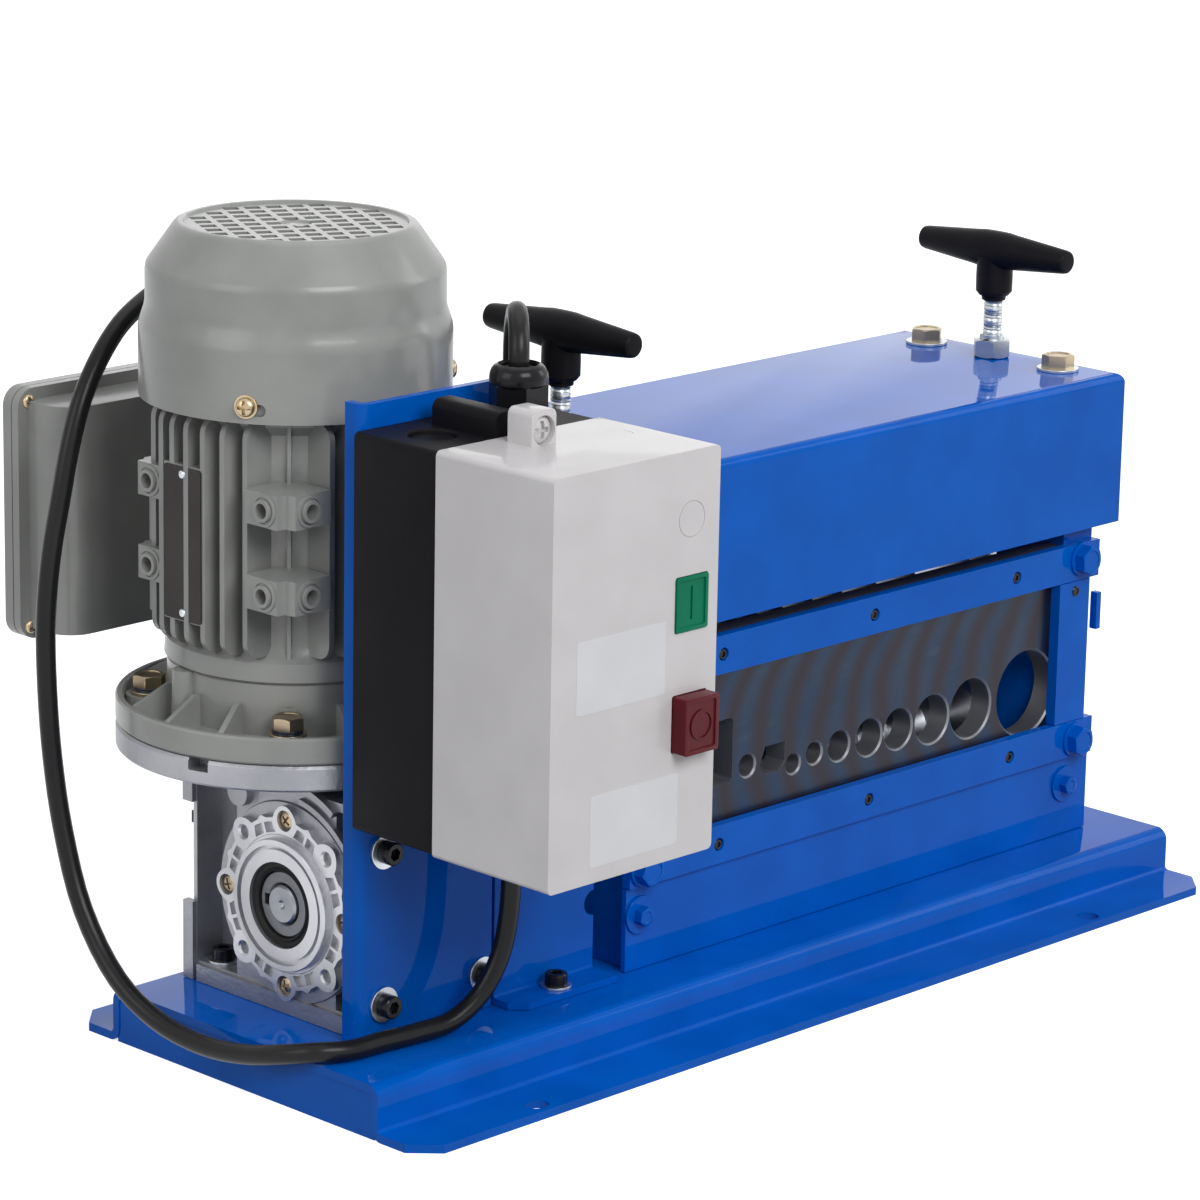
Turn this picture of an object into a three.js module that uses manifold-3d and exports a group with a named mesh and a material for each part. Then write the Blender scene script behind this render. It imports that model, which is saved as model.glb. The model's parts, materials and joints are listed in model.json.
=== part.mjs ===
// A bench wire stripping machine: a worm-geared upright motor turns a grooved feed roller, which pulls a
// cable through a guide plate under a shaft of round blades. Millimetres, +Z up, front towards -Y.
import * as THREE from "three";
import { mergeVertices } from "three/addons/utils/BufferGeometryUtils.js";
import Module from "manifold-3d";

const wasm = await Module();
wasm.setup();

// Clearances that all pieces share
const seat = 0.3;
const overrun = 5;

// Corners drawn on a round shape
const fineSides = 24;
const roundSides = 18;
const bladeSides = 12;
const smallSides = 8;
const hexSides = 6;
const bendSteps = 3;
const lobeSteps = 6;

// Base: a folded hat section with closed ends and two floor flanges
const baseLength = 543;
const baseDepth = 174;
const deckHeight = 25;
const baseSheet = 4;
const baseBend = 6;
const flangeWidth = 29;
const flangeClip = 12;
const flangeHoleRadius = 5.5;
const flangeHoleFromWall = 21;
const flangeHoleInsetLeft = 75;
const flangeHoleInsetRight = 88;

// Drive axis: the gearbox output, the feed shaft and the head share it
const driveY = 94;
const gearboxX = 71;

// Gearbox, sized from its output axis
const gearboxWidth = 71;
const gearboxFront = 49;
const gearboxBack = 71;
const gearboxFoot = 51.7;
const gearboxTop = 52.5;
const gearboxCorner = 18;
const gearboxWall = 7;
const centreDistance = 37;
const wormBore = 17;
const cornerNotchDepth = 15;
const cornerNotchSkin = 6;
const cornerNotchLength = 24;
const cornerNotchHeight = 20;
const footThickness = 9;
const footHoleRadius = 4.5;
const footHoleInset = 10;

// Output cover on the gearbox's left face
const coverRadius = 44;
const coverLobe = 2.6;
const coverLobes = 8;
const tappedHoles = 4;
const coverPlate = 4;
const pilotRadius = 30;
const pilotWall = 5;
const pilotHeight = 3.5;
const sealRadius = 22;
const coverScrewCircle = 37.5;
const coverScrewRadius = 3;
const coverScrewDepth = 3;

// Worm wheel on its hollow output shaft, and the worm
const hollowRadius = 15;
const hollowBore = 9.2;
const hollowHalf = 40;
const wheelRadius = 27.5;
const wheelWidth = 20;
const wheelTeeth = 20;
const toothDepth = 2.6;
const wormRadius = 8.5;
const wormHalf = 30;
const wormSocketRadius = 12.5;
const wormTail = 5;

// Input flange that carries the motor
const motorFlangeRadius = 80;
const inputFlangeThickness = 11.7;
const inputNeckRadius = 42;
const inputPlateGap = 18.5;
const motorBoltCircle = 65;
const motorBoltRadius = 4.5;

// Motor, measured up from its flange face
const shieldRing = 12;
const shieldHeight = 30;
const shieldHub = 60;
const shieldWall = 7;
const gussetHeight = 23;
const gussetThickness = 4;
const gussetCount = 8;
const frameHeight = 117.7;
const frameCore = 53;
const frameBore = 46;
const finReach = 64;
const finThickness = 3;
const finPitch = 10;
const finPerSide = 3;
const footPadSize = 24;
const footPadHeight = 15;
const footPadReach = 60;
const footPadLevelShares = [0.378, 0.698];
const footBossRadius = 7;
const footBossHeight = 2.2;
const rearShieldHeight = 12;
const statorWall = 11;
const statorHeight = 78;
const rotorRadius = 33;
const rotorHeight = 66;
const shaftRadius = 8;
const shaftBearing = 0.4;
const shaftNose = 7;
const fanLift = 6;
const fanRadius = 50;
const fanHub = 14;
const fanHeight = 22;
const fanPlate = 2;
const fanBlades = 7;
const fanBladeThickness = 2.5;

// Fan cover: skirt, barrel, cone and a flat top with a grid of vents
const skirtRadius = 69;
const skirtHeight = 32;
const skirtStep = 8;
const barrelRadius = 66;
const barrelHeight = 17.3;
const coneHeight = 19;
const coverTopRadius = 52;
const coverSheet = 2;
const ventPitchX = 16;
const ventPitchY = 13;
const ventLength = 12;
const ventWidth = 7;
const ventReach = 43;

// Terminal box on the motor's back
const terminalWidth = 98;
const terminalFoot = 24;
const terminalHeight = 106;
const terminalDepth = 66;
const terminalWall = 3;
const terminalCorner = 16;
const terminalRim = 5.5;
const terminalRimDepth = 6;
const terminalRimCorner = 9;
const terminalPadWidth = 60;
const terminalPadHeight = 70;
const lidDepth = 6;
const lidRecess = 3;
const motorGlandSide = 20;
const motorGlandInset = 35;

// Cable glands
const glandHex = 13.2;
const glandHexHeight = 8;
const glandDome = 12.7;
const glandDomeHeight = 15;
const glandLip = 8.6;
const glandBoreDepth = 3;

// Starter bracket, bolted to the gearbox's front
const bracketSheet = 4;
const bracketWidth = 80;
const bracketTop = 311;
const bracketLip = 11;
const bracketBend = 3;
const bracketBoltPitchX = 60;
const bracketBoltPitchZ = 70;
const bracketBoltRadius = 4.3;
const bracketShift = -4;

// Starter: black base, light cover, two buttons
const starterLeft = 22;
const starterWidth = 97;
const starterBottom = 125.5;
const starterHeight = 175;
const starterBaseDepth = 50;
const starterCoverDepth = 69;
const starterWall = 2.6;
const starterLip = 0.8;
const starterEdge = 4;
const ridgeHeight = 11.5;
const ridgeInset = 34;
const ridgeWidth = 14;
const knockoutRadius = 11.5;
const knockoutFromLeft = 21.5;
const knockoutDepth = 1.2;
const screwBossWidth = 14.5;
const screwBossDepth = 14.3;
const screwBossFromLeft = 40.5;
const screwBossHeight = 15;
const screwBossInset = 7.4;
const glandFromRight = 23;
const glandFromBack = 23;
const startWidth = 19.2;
const startHeight = 23.6;
const startCentreShare = 0.629;
const stopWidth = 20.4;
const stopHeight = 24.6;
const stopCentreShare = 0.335;
const buttonFromRight = 15.2;
const buttonStem = 12;
const buttonStemWidth = 10;
const startStand = 0.8;
const stopStand = 8;
const buttonPlay = 0.6;
const buttonCorner = 2.5;
const contactorWidth = 58;
const contactorHeight = 84;
const contactorDepth = 40;
const contactorCap = 12;

// Guard over the feed shaft between the gearbox and the head
const guardSheet = 3.2;
const guardLeft = 109;
const guardWidth = 63;
const guardHeight = 128;
const guardFoot = 16;
const guardFront = 41;
const guardNotch = 6;
const guardNotchHeight = 34;
const guardBoltRadius = 4;

// Head: two side plates carry both shafts
const headLeft = 188;
const headSpan = 327;
const sideThickness = 22;
const sideFront = 34.3;
const sideBack = 158;
const sideHeight = 229.4;
const bearingRadius = 16;
const bearingBore = 9.2;
const bladeShaftHeight = 117;
const blockHalf = 17;
const blockDown = 8;
const blockUp = 14;
const postWidth = 23;
const postInset = 8;

// Front frame of the head
const railThickness = 5.3;
const railHeight = 18.5;
const bottomRailHeight = 40;
const topRailHeight = 131;
const railLeft = 183;
const panelSheet = 3;
const rearPanelHeight = 56;

// Guide plate and its channels. Each round one has its bore, its lift off the common line, and its place
// as a share of the plate's length
const guideThickness = 12;
const guideBottom = 40.8;
const guideTop = 148.5;
const channelLine = 78;
const roundChannels = [
  { bore: 10.4, lift: 3.2, placeShare: 0.197 },
  { bore: 9.3, lift: -2.3, placeShare: 0.31 },
  { bore: 10.4, lift: 0, placeShare: 0.362 },
  { bore: 14.5, lift: 0, placeShare: 0.424 },
  { bore: 18, lift: 0, placeShare: 0.5 },
  { bore: 19.8, lift: 0, placeShare: 0.575 },
  { bore: 24, lift: 0, placeShare: 0.663 },
  { bore: 29.5, lift: 0, placeShare: 0.765 },
  { bore: 42.5, lift: 0, placeShare: 0.912 },
];
const flatChannelWidth = 17.6;
const flatChannelHeight = 13.5;
const flatChannelSlant = 4;
const flatChannelLift = 3.2;
const flatChannelShare = 0.257;
const slotChannelWidth = 13;
const slotChannelHeight = 31;
const slotChannelShare = 0.137;
const slotChannelLift = 13;

// Shafts, blades and the grooved feed roller
const feedShaftRadius = 8.8;
const feedShaftProud = 1.5;
const rollerRadius = 21.5;
const rollerBore = 9.4;
const rollerCore = 11.5;
const rollerEndLand = 4;
const grooveLand = 1.2;
const bladeShaftRadius = 9;
const bladeRadius = 30;
const bladeThickness = 3.4;
const bladeBevel = 7;
const bladeBore = 9.6;
const bladeFlat = 0.4;

// Top cover of the head
const topCoverSheet = 3;
const topCoverOverhang = 9;
const topCoverLeftOverhang = 12;
const topCoverFront = 25;
const topCoverBack = 168;
const topCoverDrop = 75;
const topCoverBend = 4;

// Press screws, lock nuts and T-handles
const screwRadius = 4.9;
const screwSeatDepth = 8;
const screwHole = 5.6;
const nutHex = 9.8;
const nutHeight = 9;
const handleStemFoot = 29;
const handleStemRadius = 9;
const handleStemChamfer = 2;
const handleBarHeight = 25;
const handleBarHalf = 46.5;
const handleBarRadius = 9.4;
const handleBarEnd = 5.8;
const handleBore = 5.3;
const handleGrip = 14;

// Cords, and the coil of the mains lead behind the machine
const cordRadius = 4.5;
const cordSides = 8;
const cordStep = 22;
const mainsLeadSteps = 45;
const coilX = 318;
const coilY = 282;
const coilRadius = 58;
const coilPitch = 9.7;
const coilLayer = 9.7;
const coilTurnsEach = 1.5;
const coilTuckShare = 0.3;
const coilTail = 42;
const coilStepsPerTurn = 24;
const coilSides = 6;
const plugWidth = 26;
const plugLength = 34;
const plugHeight = 27;
const plugNeckRadius = 8;
const plugNeckLength = 16;
const plugTipRadius = 6;
const plugCorner = 4;
const pinWidth = 6.3;
const pinThickness = 1.6;
const pinLength = 17;
const pinSpread = 6.3;
const earthPinRadius = 2.4;
const earthPinDrop = 6;

// Places worked out from the sizes above
const driveZ = deckHeight + seat + gearboxFoot;
const motorY = driveY + centreDistance;
const motorZ = driveZ + gearboxTop + inputPlateGap;
const bracketBackY = driveY - gearboxFront - seat;
const bracketFrontY = bracketBackY - bracketSheet;
const starterBackY = bracketFrontY - seat;
const starterSplitY = starterBackY - starterBaseDepth;
const starterFrontY = starterSplitY - seat - starterCoverDepth;
const starterTop = starterBottom + starterHeight;
const headFloor = deckHeight + seat;
const headRight = headLeft + headSpan;
const headInnerLeft = headLeft + sideThickness;
const headInnerRight = headRight - sideThickness;
const sideTop = headFloor + sideHeight;
const railRight = headRight;
const railBackY = sideFront - seat;
const railFrontY = railBackY - railThickness;
const guideLeft = headInnerLeft + seat;
const guideLength = headInnerRight - headInnerLeft - 2 * seat;
const channelZ = headFloor + channelLine;
const channelX = (share) => guideLeft + share * guideLength;
const bladeShaftZ = headFloor + bladeShaftHeight;
const screwLeftX = headLeft + sideThickness / 2;
const screwRightX = headRight - sideThickness / 2;
const coverTopZ = sideTop + seat + topCoverSheet;

// Finishes
const finish = (color, roughness, metalness) =>
  new THREE.MeshStandardMaterial({ color, roughness, metalness });
const finishes = {
  blue: finish(0x0a4fa8, 0.42, 0.1),
  grey: finish(0x8d918a, 0.4, 0.15),
  castAluminium: finish(0xa9acb0, 0.45, 0.8),
  steel: finish(0x6f7479, 0.35, 0.9),
  zinc: finish(0xb9bfc4, 0.3, 0.9),
  black: finish(0x161618, 0.5, 0),
  light: finish(0xd4d1cd, 0.45, 0),
  green: finish(0x0d7a45, 0.4, 0),
  red: finish(0x7d1420, 0.35, 0),
  bronze: finish(0xa8793c, 0.4, 0.8),
  copper: finish(0x8a4b2a, 0.5, 0.5),
  rubber: finish(0x111113, 0.55, 0),
};

// Turns a closed three.js geometry into a solid that can be joined and cut.
function solid(geometry) {
  const bare = geometry.clone();
  bare.deleteAttribute("normal");
  bare.deleteAttribute("uv");
  const merged = mergeVertices(bare);
  return new wasm.Manifold(
    new wasm.Mesh({
      numProp: 3,
      vertProperties: merged.attributes.position.array,
      triVerts: new Uint32Array(merged.index.array),
    }),
  );
}

// Turns a solid back into a three.js geometry.
function geometryOf(shape) {
  const mesh = shape.getMesh();
  return new THREE.BufferGeometry()
    .setAttribute("position", new THREE.BufferAttribute(mesh.vertProperties, 3))
    .setIndex(new THREE.BufferAttribute(mesh.triVerts, 1))
    .toNonIndexed();
}

const join = (...shapes) => shapes.reduce((all, next) => all.add(next));
const cut = (body, ...tools) => tools.reduce((left, tool) => left.subtract(tool), body);

// A block between two corners.
function block([x0, x1], [y0, y1], [z0, z1]) {
  const geometry = new THREE.BoxGeometry(x1 - x0, y1 - y0, z1 - z0);
  return solid(geometry.translate((x0 + x1) / 2, (y0 + y1) / 2, (z0 + z1) / 2));
}

// Lays a geometry made along +Y (round shapes) along another axis.
function layRound(geometry, axis) {
  if (axis === "x") return geometry.rotateZ(-Math.PI / 2);
  return axis === "z" ? geometry.rotateX(Math.PI / 2) : geometry;
}

// A cylinder along an axis, from one place to another, through the centre given by the other two.
function bar(axis, [from, to], centre, radius, sides = roundSides) {
  const geometry = layRound(new THREE.CylinderGeometry(radius, radius, to - from, sides), axis);
  const middle = (from + to) / 2;
  if (axis === "x") geometry.translate(middle, centre[0], centre[1]);
  if (axis === "y") geometry.translate(centre[0], middle, centre[1]);
  if (axis === "z") geometry.translate(centre[0], centre[1], middle);
  return solid(geometry);
}

// The corner radius of a faceted bore in which a faceted rod of that radius turns freely.
const clearBore = (radius, sides) => (radius + seat) / Math.cos(Math.PI / sides);

// A turned shape: its half section as [radius, place along the axis], up the outside first.
function turned(section, axis, sides = roundSides) {
  const points = section.map(([radius, along]) => new THREE.Vector2(radius, along));
  return solid(layRound(new THREE.LatheGeometry(points, sides), axis));
}

// The half section of a ring or tube, closed on itself.
const ring = (outer, inner, from, to) => [
  [inner, from],
  [outer, from],
  [outer, to],
  [inner, to],
  [inner, from],
];

// An outline pushed along an axis: (y, z) along x, (x, z) along y, or (x, y) along z.
function prism(outline, axis, [from, to]) {
  const shape = outline instanceof THREE.Shape ? outline : new THREE.Shape(outline);
  const geometry = new THREE.ExtrudeGeometry(shape, {
    depth: to - from,
    bevelEnabled: false,
    curveSegments: bendSteps,
  });
  const turn = new THREE.Matrix4();
  if (axis === "x") turn.set(0, 0, 1, from, 1, 0, 0, 0, 0, 1, 0, 0, 0, 0, 0, 1);
  if (axis === "y") turn.set(1, 0, 0, 0, 0, 0, -1, to, 0, 1, 0, 0, 0, 0, 0, 1);
  if (axis === "z") turn.makeTranslation(0, 0, from);
  return solid(geometry.applyMatrix4(turn));
}

const at = (x, y) => new THREE.Vector2(x, y);

// A rectangle with rounded corners, as a shape.
function roundedRectangle([x0, x1], [y0, y1], radius) {
  const shape = new THREE.Shape();
  shape.moveTo(x0 + radius, y0);
  shape.lineTo(x1 - radius, y0);
  shape.absarc(x1 - radius, y0 + radius, radius, -Math.PI / 2, 0);
  shape.lineTo(x1, y1 - radius);
  shape.absarc(x1 - radius, y1 - radius, radius, 0, Math.PI / 2);
  shape.lineTo(x0 + radius, y1);
  shape.absarc(x0 + radius, y1 - radius, radius, Math.PI / 2, Math.PI);
  shape.lineTo(x0, y0 + radius);
  shape.absarc(x0 + radius, y0 + radius, radius, Math.PI, 1.5 * Math.PI);
  return shape;
}

// Copies of a tool turned in equal steps about the X or Z axis, joined.
function around(axis, count, make, start = 0) {
  return join(
    ...Array.from({ length: count }, (_, i) => {
      const degrees = start + (i * 360) / count;
      return make(i).rotate(axis === "x" ? [degrees, 0, 0] : [0, 0, degrees]);
    }),
  );
}

const machine = new THREE.Group();

// Names a piece, gives it its finish and hangs it in its group.
function piece(name, shape, material, group = machine) {
  const mesh = new THREE.Mesh(geometryOf(shape), material);
  mesh.name = name;
  group.add(mesh);
  return mesh;
}

// A group whose pieces are modelled about its own origin.
function assembly(x, y, z) {
  const group = new THREE.Group();
  group.position.set(x, y, z);
  machine.add(group);
  return group;
}

// Base pan
function basePan() {
  const innerTop = deckHeight - baseSheet;
  const shape = new THREE.Shape();
  shape.moveTo(-flangeWidth, 0);
  shape.lineTo(baseSheet, 0);
  shape.lineTo(baseSheet, innerTop);
  shape.lineTo(baseDepth - baseSheet, innerTop);
  shape.lineTo(baseDepth - baseSheet, 0);
  shape.lineTo(baseDepth + flangeWidth, 0);
  shape.lineTo(baseDepth + flangeWidth, baseSheet);
  shape.lineTo(baseDepth, baseSheet);
  shape.lineTo(baseDepth, deckHeight - baseBend);
  shape.absarc(baseDepth - baseBend, deckHeight - baseBend, baseBend, 0, Math.PI / 2);
  shape.lineTo(baseBend, deckHeight);
  shape.absarc(baseBend, deckHeight - baseBend, baseBend, Math.PI / 2, Math.PI);
  shape.lineTo(0, baseSheet);
  shape.lineTo(-flangeWidth, baseSheet);
  const hat = prism(shape, "x", [0, baseLength]);
  const endPlate = (from) =>
    block(
      [from, from + baseSheet],
      [baseSheet / 2, baseDepth - baseSheet / 2],
      [0, deckHeight - baseSheet / 2],
    );
  const through = [-overrun, baseSheet + overrun];
  const corners = [];
  for (const x of [0, baseLength])
    for (const y of [-flangeWidth, baseDepth + flangeWidth]) {
      const inX = x === 0 ? 1 : -1;
      const inY = y < 0 ? 1 : -1;
      const outline = [
        at(x - inX * overrun, y - inY * overrun),
        at(x + inX * (flangeClip + overrun), y - inY * overrun),
        at(x - inX * overrun, y + inY * (flangeClip + overrun)),
      ];
      if (inX * inY < 0) outline.reverse();
      corners.push(prism(outline, "z", through));
    }
  const holes = [];
  for (const x of [flangeHoleInsetLeft, baseLength - flangeHoleInsetRight])
    for (const y of [-flangeHoleFromWall, baseDepth + flangeHoleFromWall])
      holes.push(bar("z", through, [x, y], flangeHoleRadius, smallSides));
  return cut(join(hat, endPlate(0), endPlate(baseLength - baseSheet)), ...corners, ...holes);
}
piece("base_pan", basePan(), finishes.blue);

// Gearbox pieces, about the crossing of the output axis and the housing's middle plane
const gearbox = assembly(gearboxX, driveY, driveZ);
const gearboxHalf = gearboxWidth / 2;

function gearboxHousing() {
  const outline = new THREE.Shape();
  outline.moveTo(-gearboxHalf, -gearboxFront);
  outline.lineTo(gearboxHalf, -gearboxFront);
  outline.lineTo(gearboxHalf, gearboxBack - gearboxCorner);
  outline.absarc(
    gearboxHalf - gearboxCorner,
    gearboxBack - gearboxCorner,
    gearboxCorner,
    0,
    Math.PI / 2,
  );
  outline.lineTo(gearboxCorner - gearboxHalf, gearboxBack);
  outline.absarc(
    gearboxCorner - gearboxHalf,
    gearboxBack - gearboxCorner,
    gearboxCorner,
    Math.PI / 2,
    Math.PI,
  );
  const body = prism(outline, "z", [-gearboxFoot, gearboxTop]);
  const notches = [];
  const footHoles = [];
  for (const side of [-1, 1])
    for (const [y, inward] of [
      [-gearboxFront, 1],
      [gearboxBack, -1],
    ]) {
      const xs = [side * (gearboxHalf + overrun), side * (gearboxHalf - cornerNotchDepth)];
      const ys = [y + inward * cornerNotchSkin, y + inward * cornerNotchLength];
      const order = (pair) => pair.sort((a, b) => a - b);
      for (const zs of [
        [footThickness - gearboxFoot, footThickness + cornerNotchHeight - gearboxFoot],
        [gearboxTop - footThickness - cornerNotchHeight, gearboxTop - footThickness],
      ])
        notches.push(block(order([...xs]), order([...ys]), zs));
      footHoles.push(
        bar(
          "z",
          [-gearboxFoot - overrun, gearboxTop + overrun],
          [side * (gearboxHalf - footHoleInset), y + inward * footHoleInset * 1.5],
          footHoleRadius,
          smallSides,
        ),
      );
    }
  const cavity = bar(
    "x",
    [gearboxWall - gearboxHalf, gearboxHalf - gearboxWall],
    [0, 0],
    wheelRadius + gearboxWall / 2,
    roundSides,
  );
  return cut(
    body,
    ...notches,
    ...footHoles,
    bar("x", [-gearboxHalf - overrun, gearboxHalf + overrun], [0, 0], sealRadius, roundSides),
    cavity,
    bar(
      "z",
      [gearboxWall - gearboxFoot, gearboxTop + overrun],
      [0, centreDistance],
      wormBore,
      roundSides,
    ),
    boltHolesFront(-gearboxFront - overrun, gearboxWall - gearboxFront),
  );
}

// The four bolt holes that carry the starter bracket, through the range of y given.
function boltHolesFront(from, to) {
  const holes = [];
  for (const x of [-1, 1])
    for (const z of [-1, 1])
      holes.push(
        bar(
          "y",
          [from, to],
          [(x * bracketBoltPitchX) / 2, (z * bracketBoltPitchZ) / 2],
          bracketBoltRadius,
          smallSides,
        ),
      );
  return join(...holes);
}
piece("gearbox_housing", gearboxHousing(), finishes.castAluminium, gearbox);

function outputCover() {
  const outline = new THREE.Shape(
    Array.from({ length: coverLobes * lobeSteps }, (_, i) => {
      const angle = (2 * Math.PI * i) / (coverLobes * lobeSteps);
      const radius = coverRadius + coverLobe * Math.cos(coverLobes * angle);
      return at(radius * Math.cos(angle), radius * Math.sin(angle));
    }),
  );
  const outer = -gearboxHalf - seat - coverPlate;
  const plate = prism(outline, "x", [outer, -gearboxHalf - seat]);
  const pilot = bar("x", [outer - pilotHeight, outer + seat], [0, 0], pilotRadius, fineSides);
  const pilotRecess = bar(
    "x",
    [outer - pilotHeight - overrun, outer],
    [0, 0],
    pilotRadius - pilotWall,
    fineSides,
  );
  const bore = bar("x", [outer - overrun, overrun - gearboxHalf], [0, 0], sealRadius, fineSides);
  const tapped = around(
    "x",
    tappedHoles,
    () =>
      bar(
        "x",
        [outer - overrun, outer + coverScrewDepth],
        [0, coverScrewCircle],
        coverScrewRadius,
        smallSides,
      ),
    180 / tappedHoles,
  );
  return cut(join(plate, pilot), pilotRecess, bore, tapped);
}
piece("output_cover", outputCover(), finishes.castAluminium, gearbox);

function wormWheel() {
  const teeth = new THREE.Shape(
    Array.from({ length: wheelTeeth * 4 }, (_, i) => {
      const angle = (i * Math.PI) / (2 * wheelTeeth);
      const radius = i % 4 < 2 ? wheelRadius : wheelRadius - toothDepth;
      return at(radius * Math.cos(angle), radius * Math.sin(angle));
    }),
  );
  const rim = prism(teeth, "x", [-wheelWidth / 2, wheelWidth / 2]);
  const hub = bar("x", [-hollowHalf, hollowHalf], [0, 0], hollowRadius, roundSides);
  const bore = bar("x", [-hollowHalf - overrun, hollowHalf + overrun], [0, 0], hollowBore);
  return cut(join(rim, hub), bore);
}
piece("worm_wheel", wormWheel(), finishes.bronze, gearbox);

// The input flange: a round plate on a neck, standing on the housing's top
function inputFlange() {
  const top = gearboxTop + inputPlateGap - seat;
  const plateFoot = top - inputFlangeThickness;
  const shape = turned(
    [
      [wormBore, gearboxTop + seat],
      [inputNeckRadius, gearboxTop + seat],
      [inputNeckRadius, plateFoot],
      [motorFlangeRadius, plateFoot],
      [motorFlangeRadius, top],
      [wormBore, top],
      [wormBore, gearboxTop + seat],
    ],
    "z",
    fineSides,
  );
  return cut(
    shape.translate([0, centreDistance, 0]),
    motorBoltHoles(plateFoot - overrun, top + overrun).translate([0, centreDistance, 0]),
  );
}

// The four motor bolt holes, on the diagonals.
const motorBoltHoles = (from, to) =>
  around("z", 4, () => bar("z", [from, to], [motorBoltCircle, 0], motorBoltRadius, smallSides), 45);
piece("input_flange", inputFlange(), finishes.castAluminium, gearbox);

// Motor pieces, about the motor's axis at its flange face
const motor = assembly(gearboxX, motorY, motorZ);
const frameTop = shieldHeight + seat + frameHeight;
const wormCentre = -gearboxTop - inputPlateGap;

function worm() {
  const socketFoot = wormCentre + wormHalf;
  const shape = turned(
    [
      [0, wormCentre - wormHalf - wormTail],
      [wormRadius - toothDepth, wormCentre - wormHalf - wormTail],
      [wormRadius - toothDepth, wormCentre - wormHalf],
      [wormRadius, wormCentre - wormHalf],
      [wormRadius, socketFoot],
      [wormSocketRadius, socketFoot],
      [wormSocketRadius, -seat],
      [0, -seat],
    ],
    "z",
    roundSides,
  );
  return cut(shape, bar("z", [socketFoot, overrun], [0, 0], shaftNose + seat));
}
piece("worm", worm(), finishes.steel, motor);

function motorEndShield() {
  const ringShape = turned(ring(motorFlangeRadius, wormBore, 0, shieldRing), "z", fineSides);
  const hub = turned(ring(shieldHub, shieldHub - shieldWall, 0, shieldHeight), "z", fineSides);
  const gusset = () =>
    prism(
      [
        at(shieldHub - shieldWall / 2, shieldRing - seat),
        at(motorFlangeRadius - gussetThickness, shieldRing - seat),
        at(motorFlangeRadius - gussetThickness, shieldRing + gussetThickness / 2),
        at(shieldHub, gussetHeight - gussetThickness / 2),
        at(shieldHub - shieldWall / 2, gussetHeight - gussetThickness / 2),
      ],
      "y",
      [-gussetThickness / 2, gussetThickness / 2],
    );
  const gussets = around("z", gussetCount, gusset);
  return cut(join(ringShape, hub, gussets), motorBoltHoles(-overrun, shieldRing + overrun));
}
piece("motor_end_shield", motorEndShield(), finishes.grey, motor);

function motorFrame() {
  const zs = [shieldHeight + seat, frameTop];
  const core = bar("z", zs, [0, 0], frameCore, fineSides);
  const fins = [];
  for (let i = -finPerSide; i <= finPerSide; i++) {
    const across = i * finPitch;
    const reach = Math.sqrt(finReach * finReach - across * across);
    const half = finThickness / 2;
    fins.push(
      block([across - half, across + half], [-reach, reach], zs),
      block([-reach, reach], [across - half, across + half], zs),
    );
  }
  const pads = [];
  for (const share of footPadLevelShares) {
    const middle = shieldHeight + share * frameHeight;
    const level = [middle - footPadHeight / 2, middle + footPadHeight / 2];
    for (const sx of [-1, 1])
      for (const sy of [-1, 1]) {
        const span = (sign) =>
          sign > 0 ? [footPadReach - footPadSize, footPadReach] : [-footPadReach, footPadSize - footPadReach];
        pads.push(block(span(sx), span(sy), level));
        const centre = footPadReach - footPadSize / 2;
        const bossFace = footPadReach + footBossHeight;
        const along = (sign, inner) =>
          sign > 0 ? [inner, bossFace] : [-bossFace, -inner];
        pads.push(
          bar("x", along(sx, footPadReach - seat), [sy * centre, middle], footBossRadius, smallSides),
          bar("y", along(sy, footPadReach - seat), [sx * centre, middle], footBossRadius, smallSides),
        );
      }
  }
  const padZ = terminalFoot + terminalHeight / 2;
  const terminalPad = block(
    [-terminalPadWidth / 2, terminalPadWidth / 2],
    [frameCore - finThickness, finReach],
    [padZ - terminalPadHeight / 2, padZ + terminalPadHeight / 2],
  );
  const bore = bar("z", [-overrun, frameTop + overrun], [0, 0], frameBore, fineSides);
  return cut(join(core, ...fins, ...pads, terminalPad), bore);
}
piece("motor_frame", motorFrame(), finishes.grey, motor);

const coilFoot = shieldHeight + (frameHeight - statorHeight) / 2;
piece(
  "stator",
  turned(
    ring(frameBore - seat, frameBore - statorWall, coilFoot, coilFoot + statorHeight),
    "z",
    fineSides,
  ),
  finishes.copper,
  motor,
);

const shaftTop = frameTop + rearShieldHeight + fanLift + fanHeight;
function motorRotor() {
  const coreFoot = shieldHeight + (frameHeight - rotorHeight) / 2;
  return turned(
    [
      [0, wormCentre + wormHalf + seat],
      [shaftNose, wormCentre + wormHalf + seat],
      [shaftNose, seat],
      [shaftRadius, seat],
      [shaftRadius, coreFoot],
      [rotorRadius, coreFoot],
      [rotorRadius, coreFoot + rotorHeight],
      [shaftRadius, coreFoot + rotorHeight],
      [shaftRadius, shaftTop],
      [0, shaftTop],
    ],
    "z",
    roundSides,
  );
}
piece("motor_rotor", motorRotor(), finishes.steel, motor);

piece(
  "motor_rear_shield",
  turned(
    ring(
      skirtRadius - coverSheet - seat,
      shaftRadius + shaftBearing,
      frameTop + seat,
      frameTop + rearShieldHeight,
    ),
    "z",
    fineSides,
  ),
  finishes.grey,
  motor,
);

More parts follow.
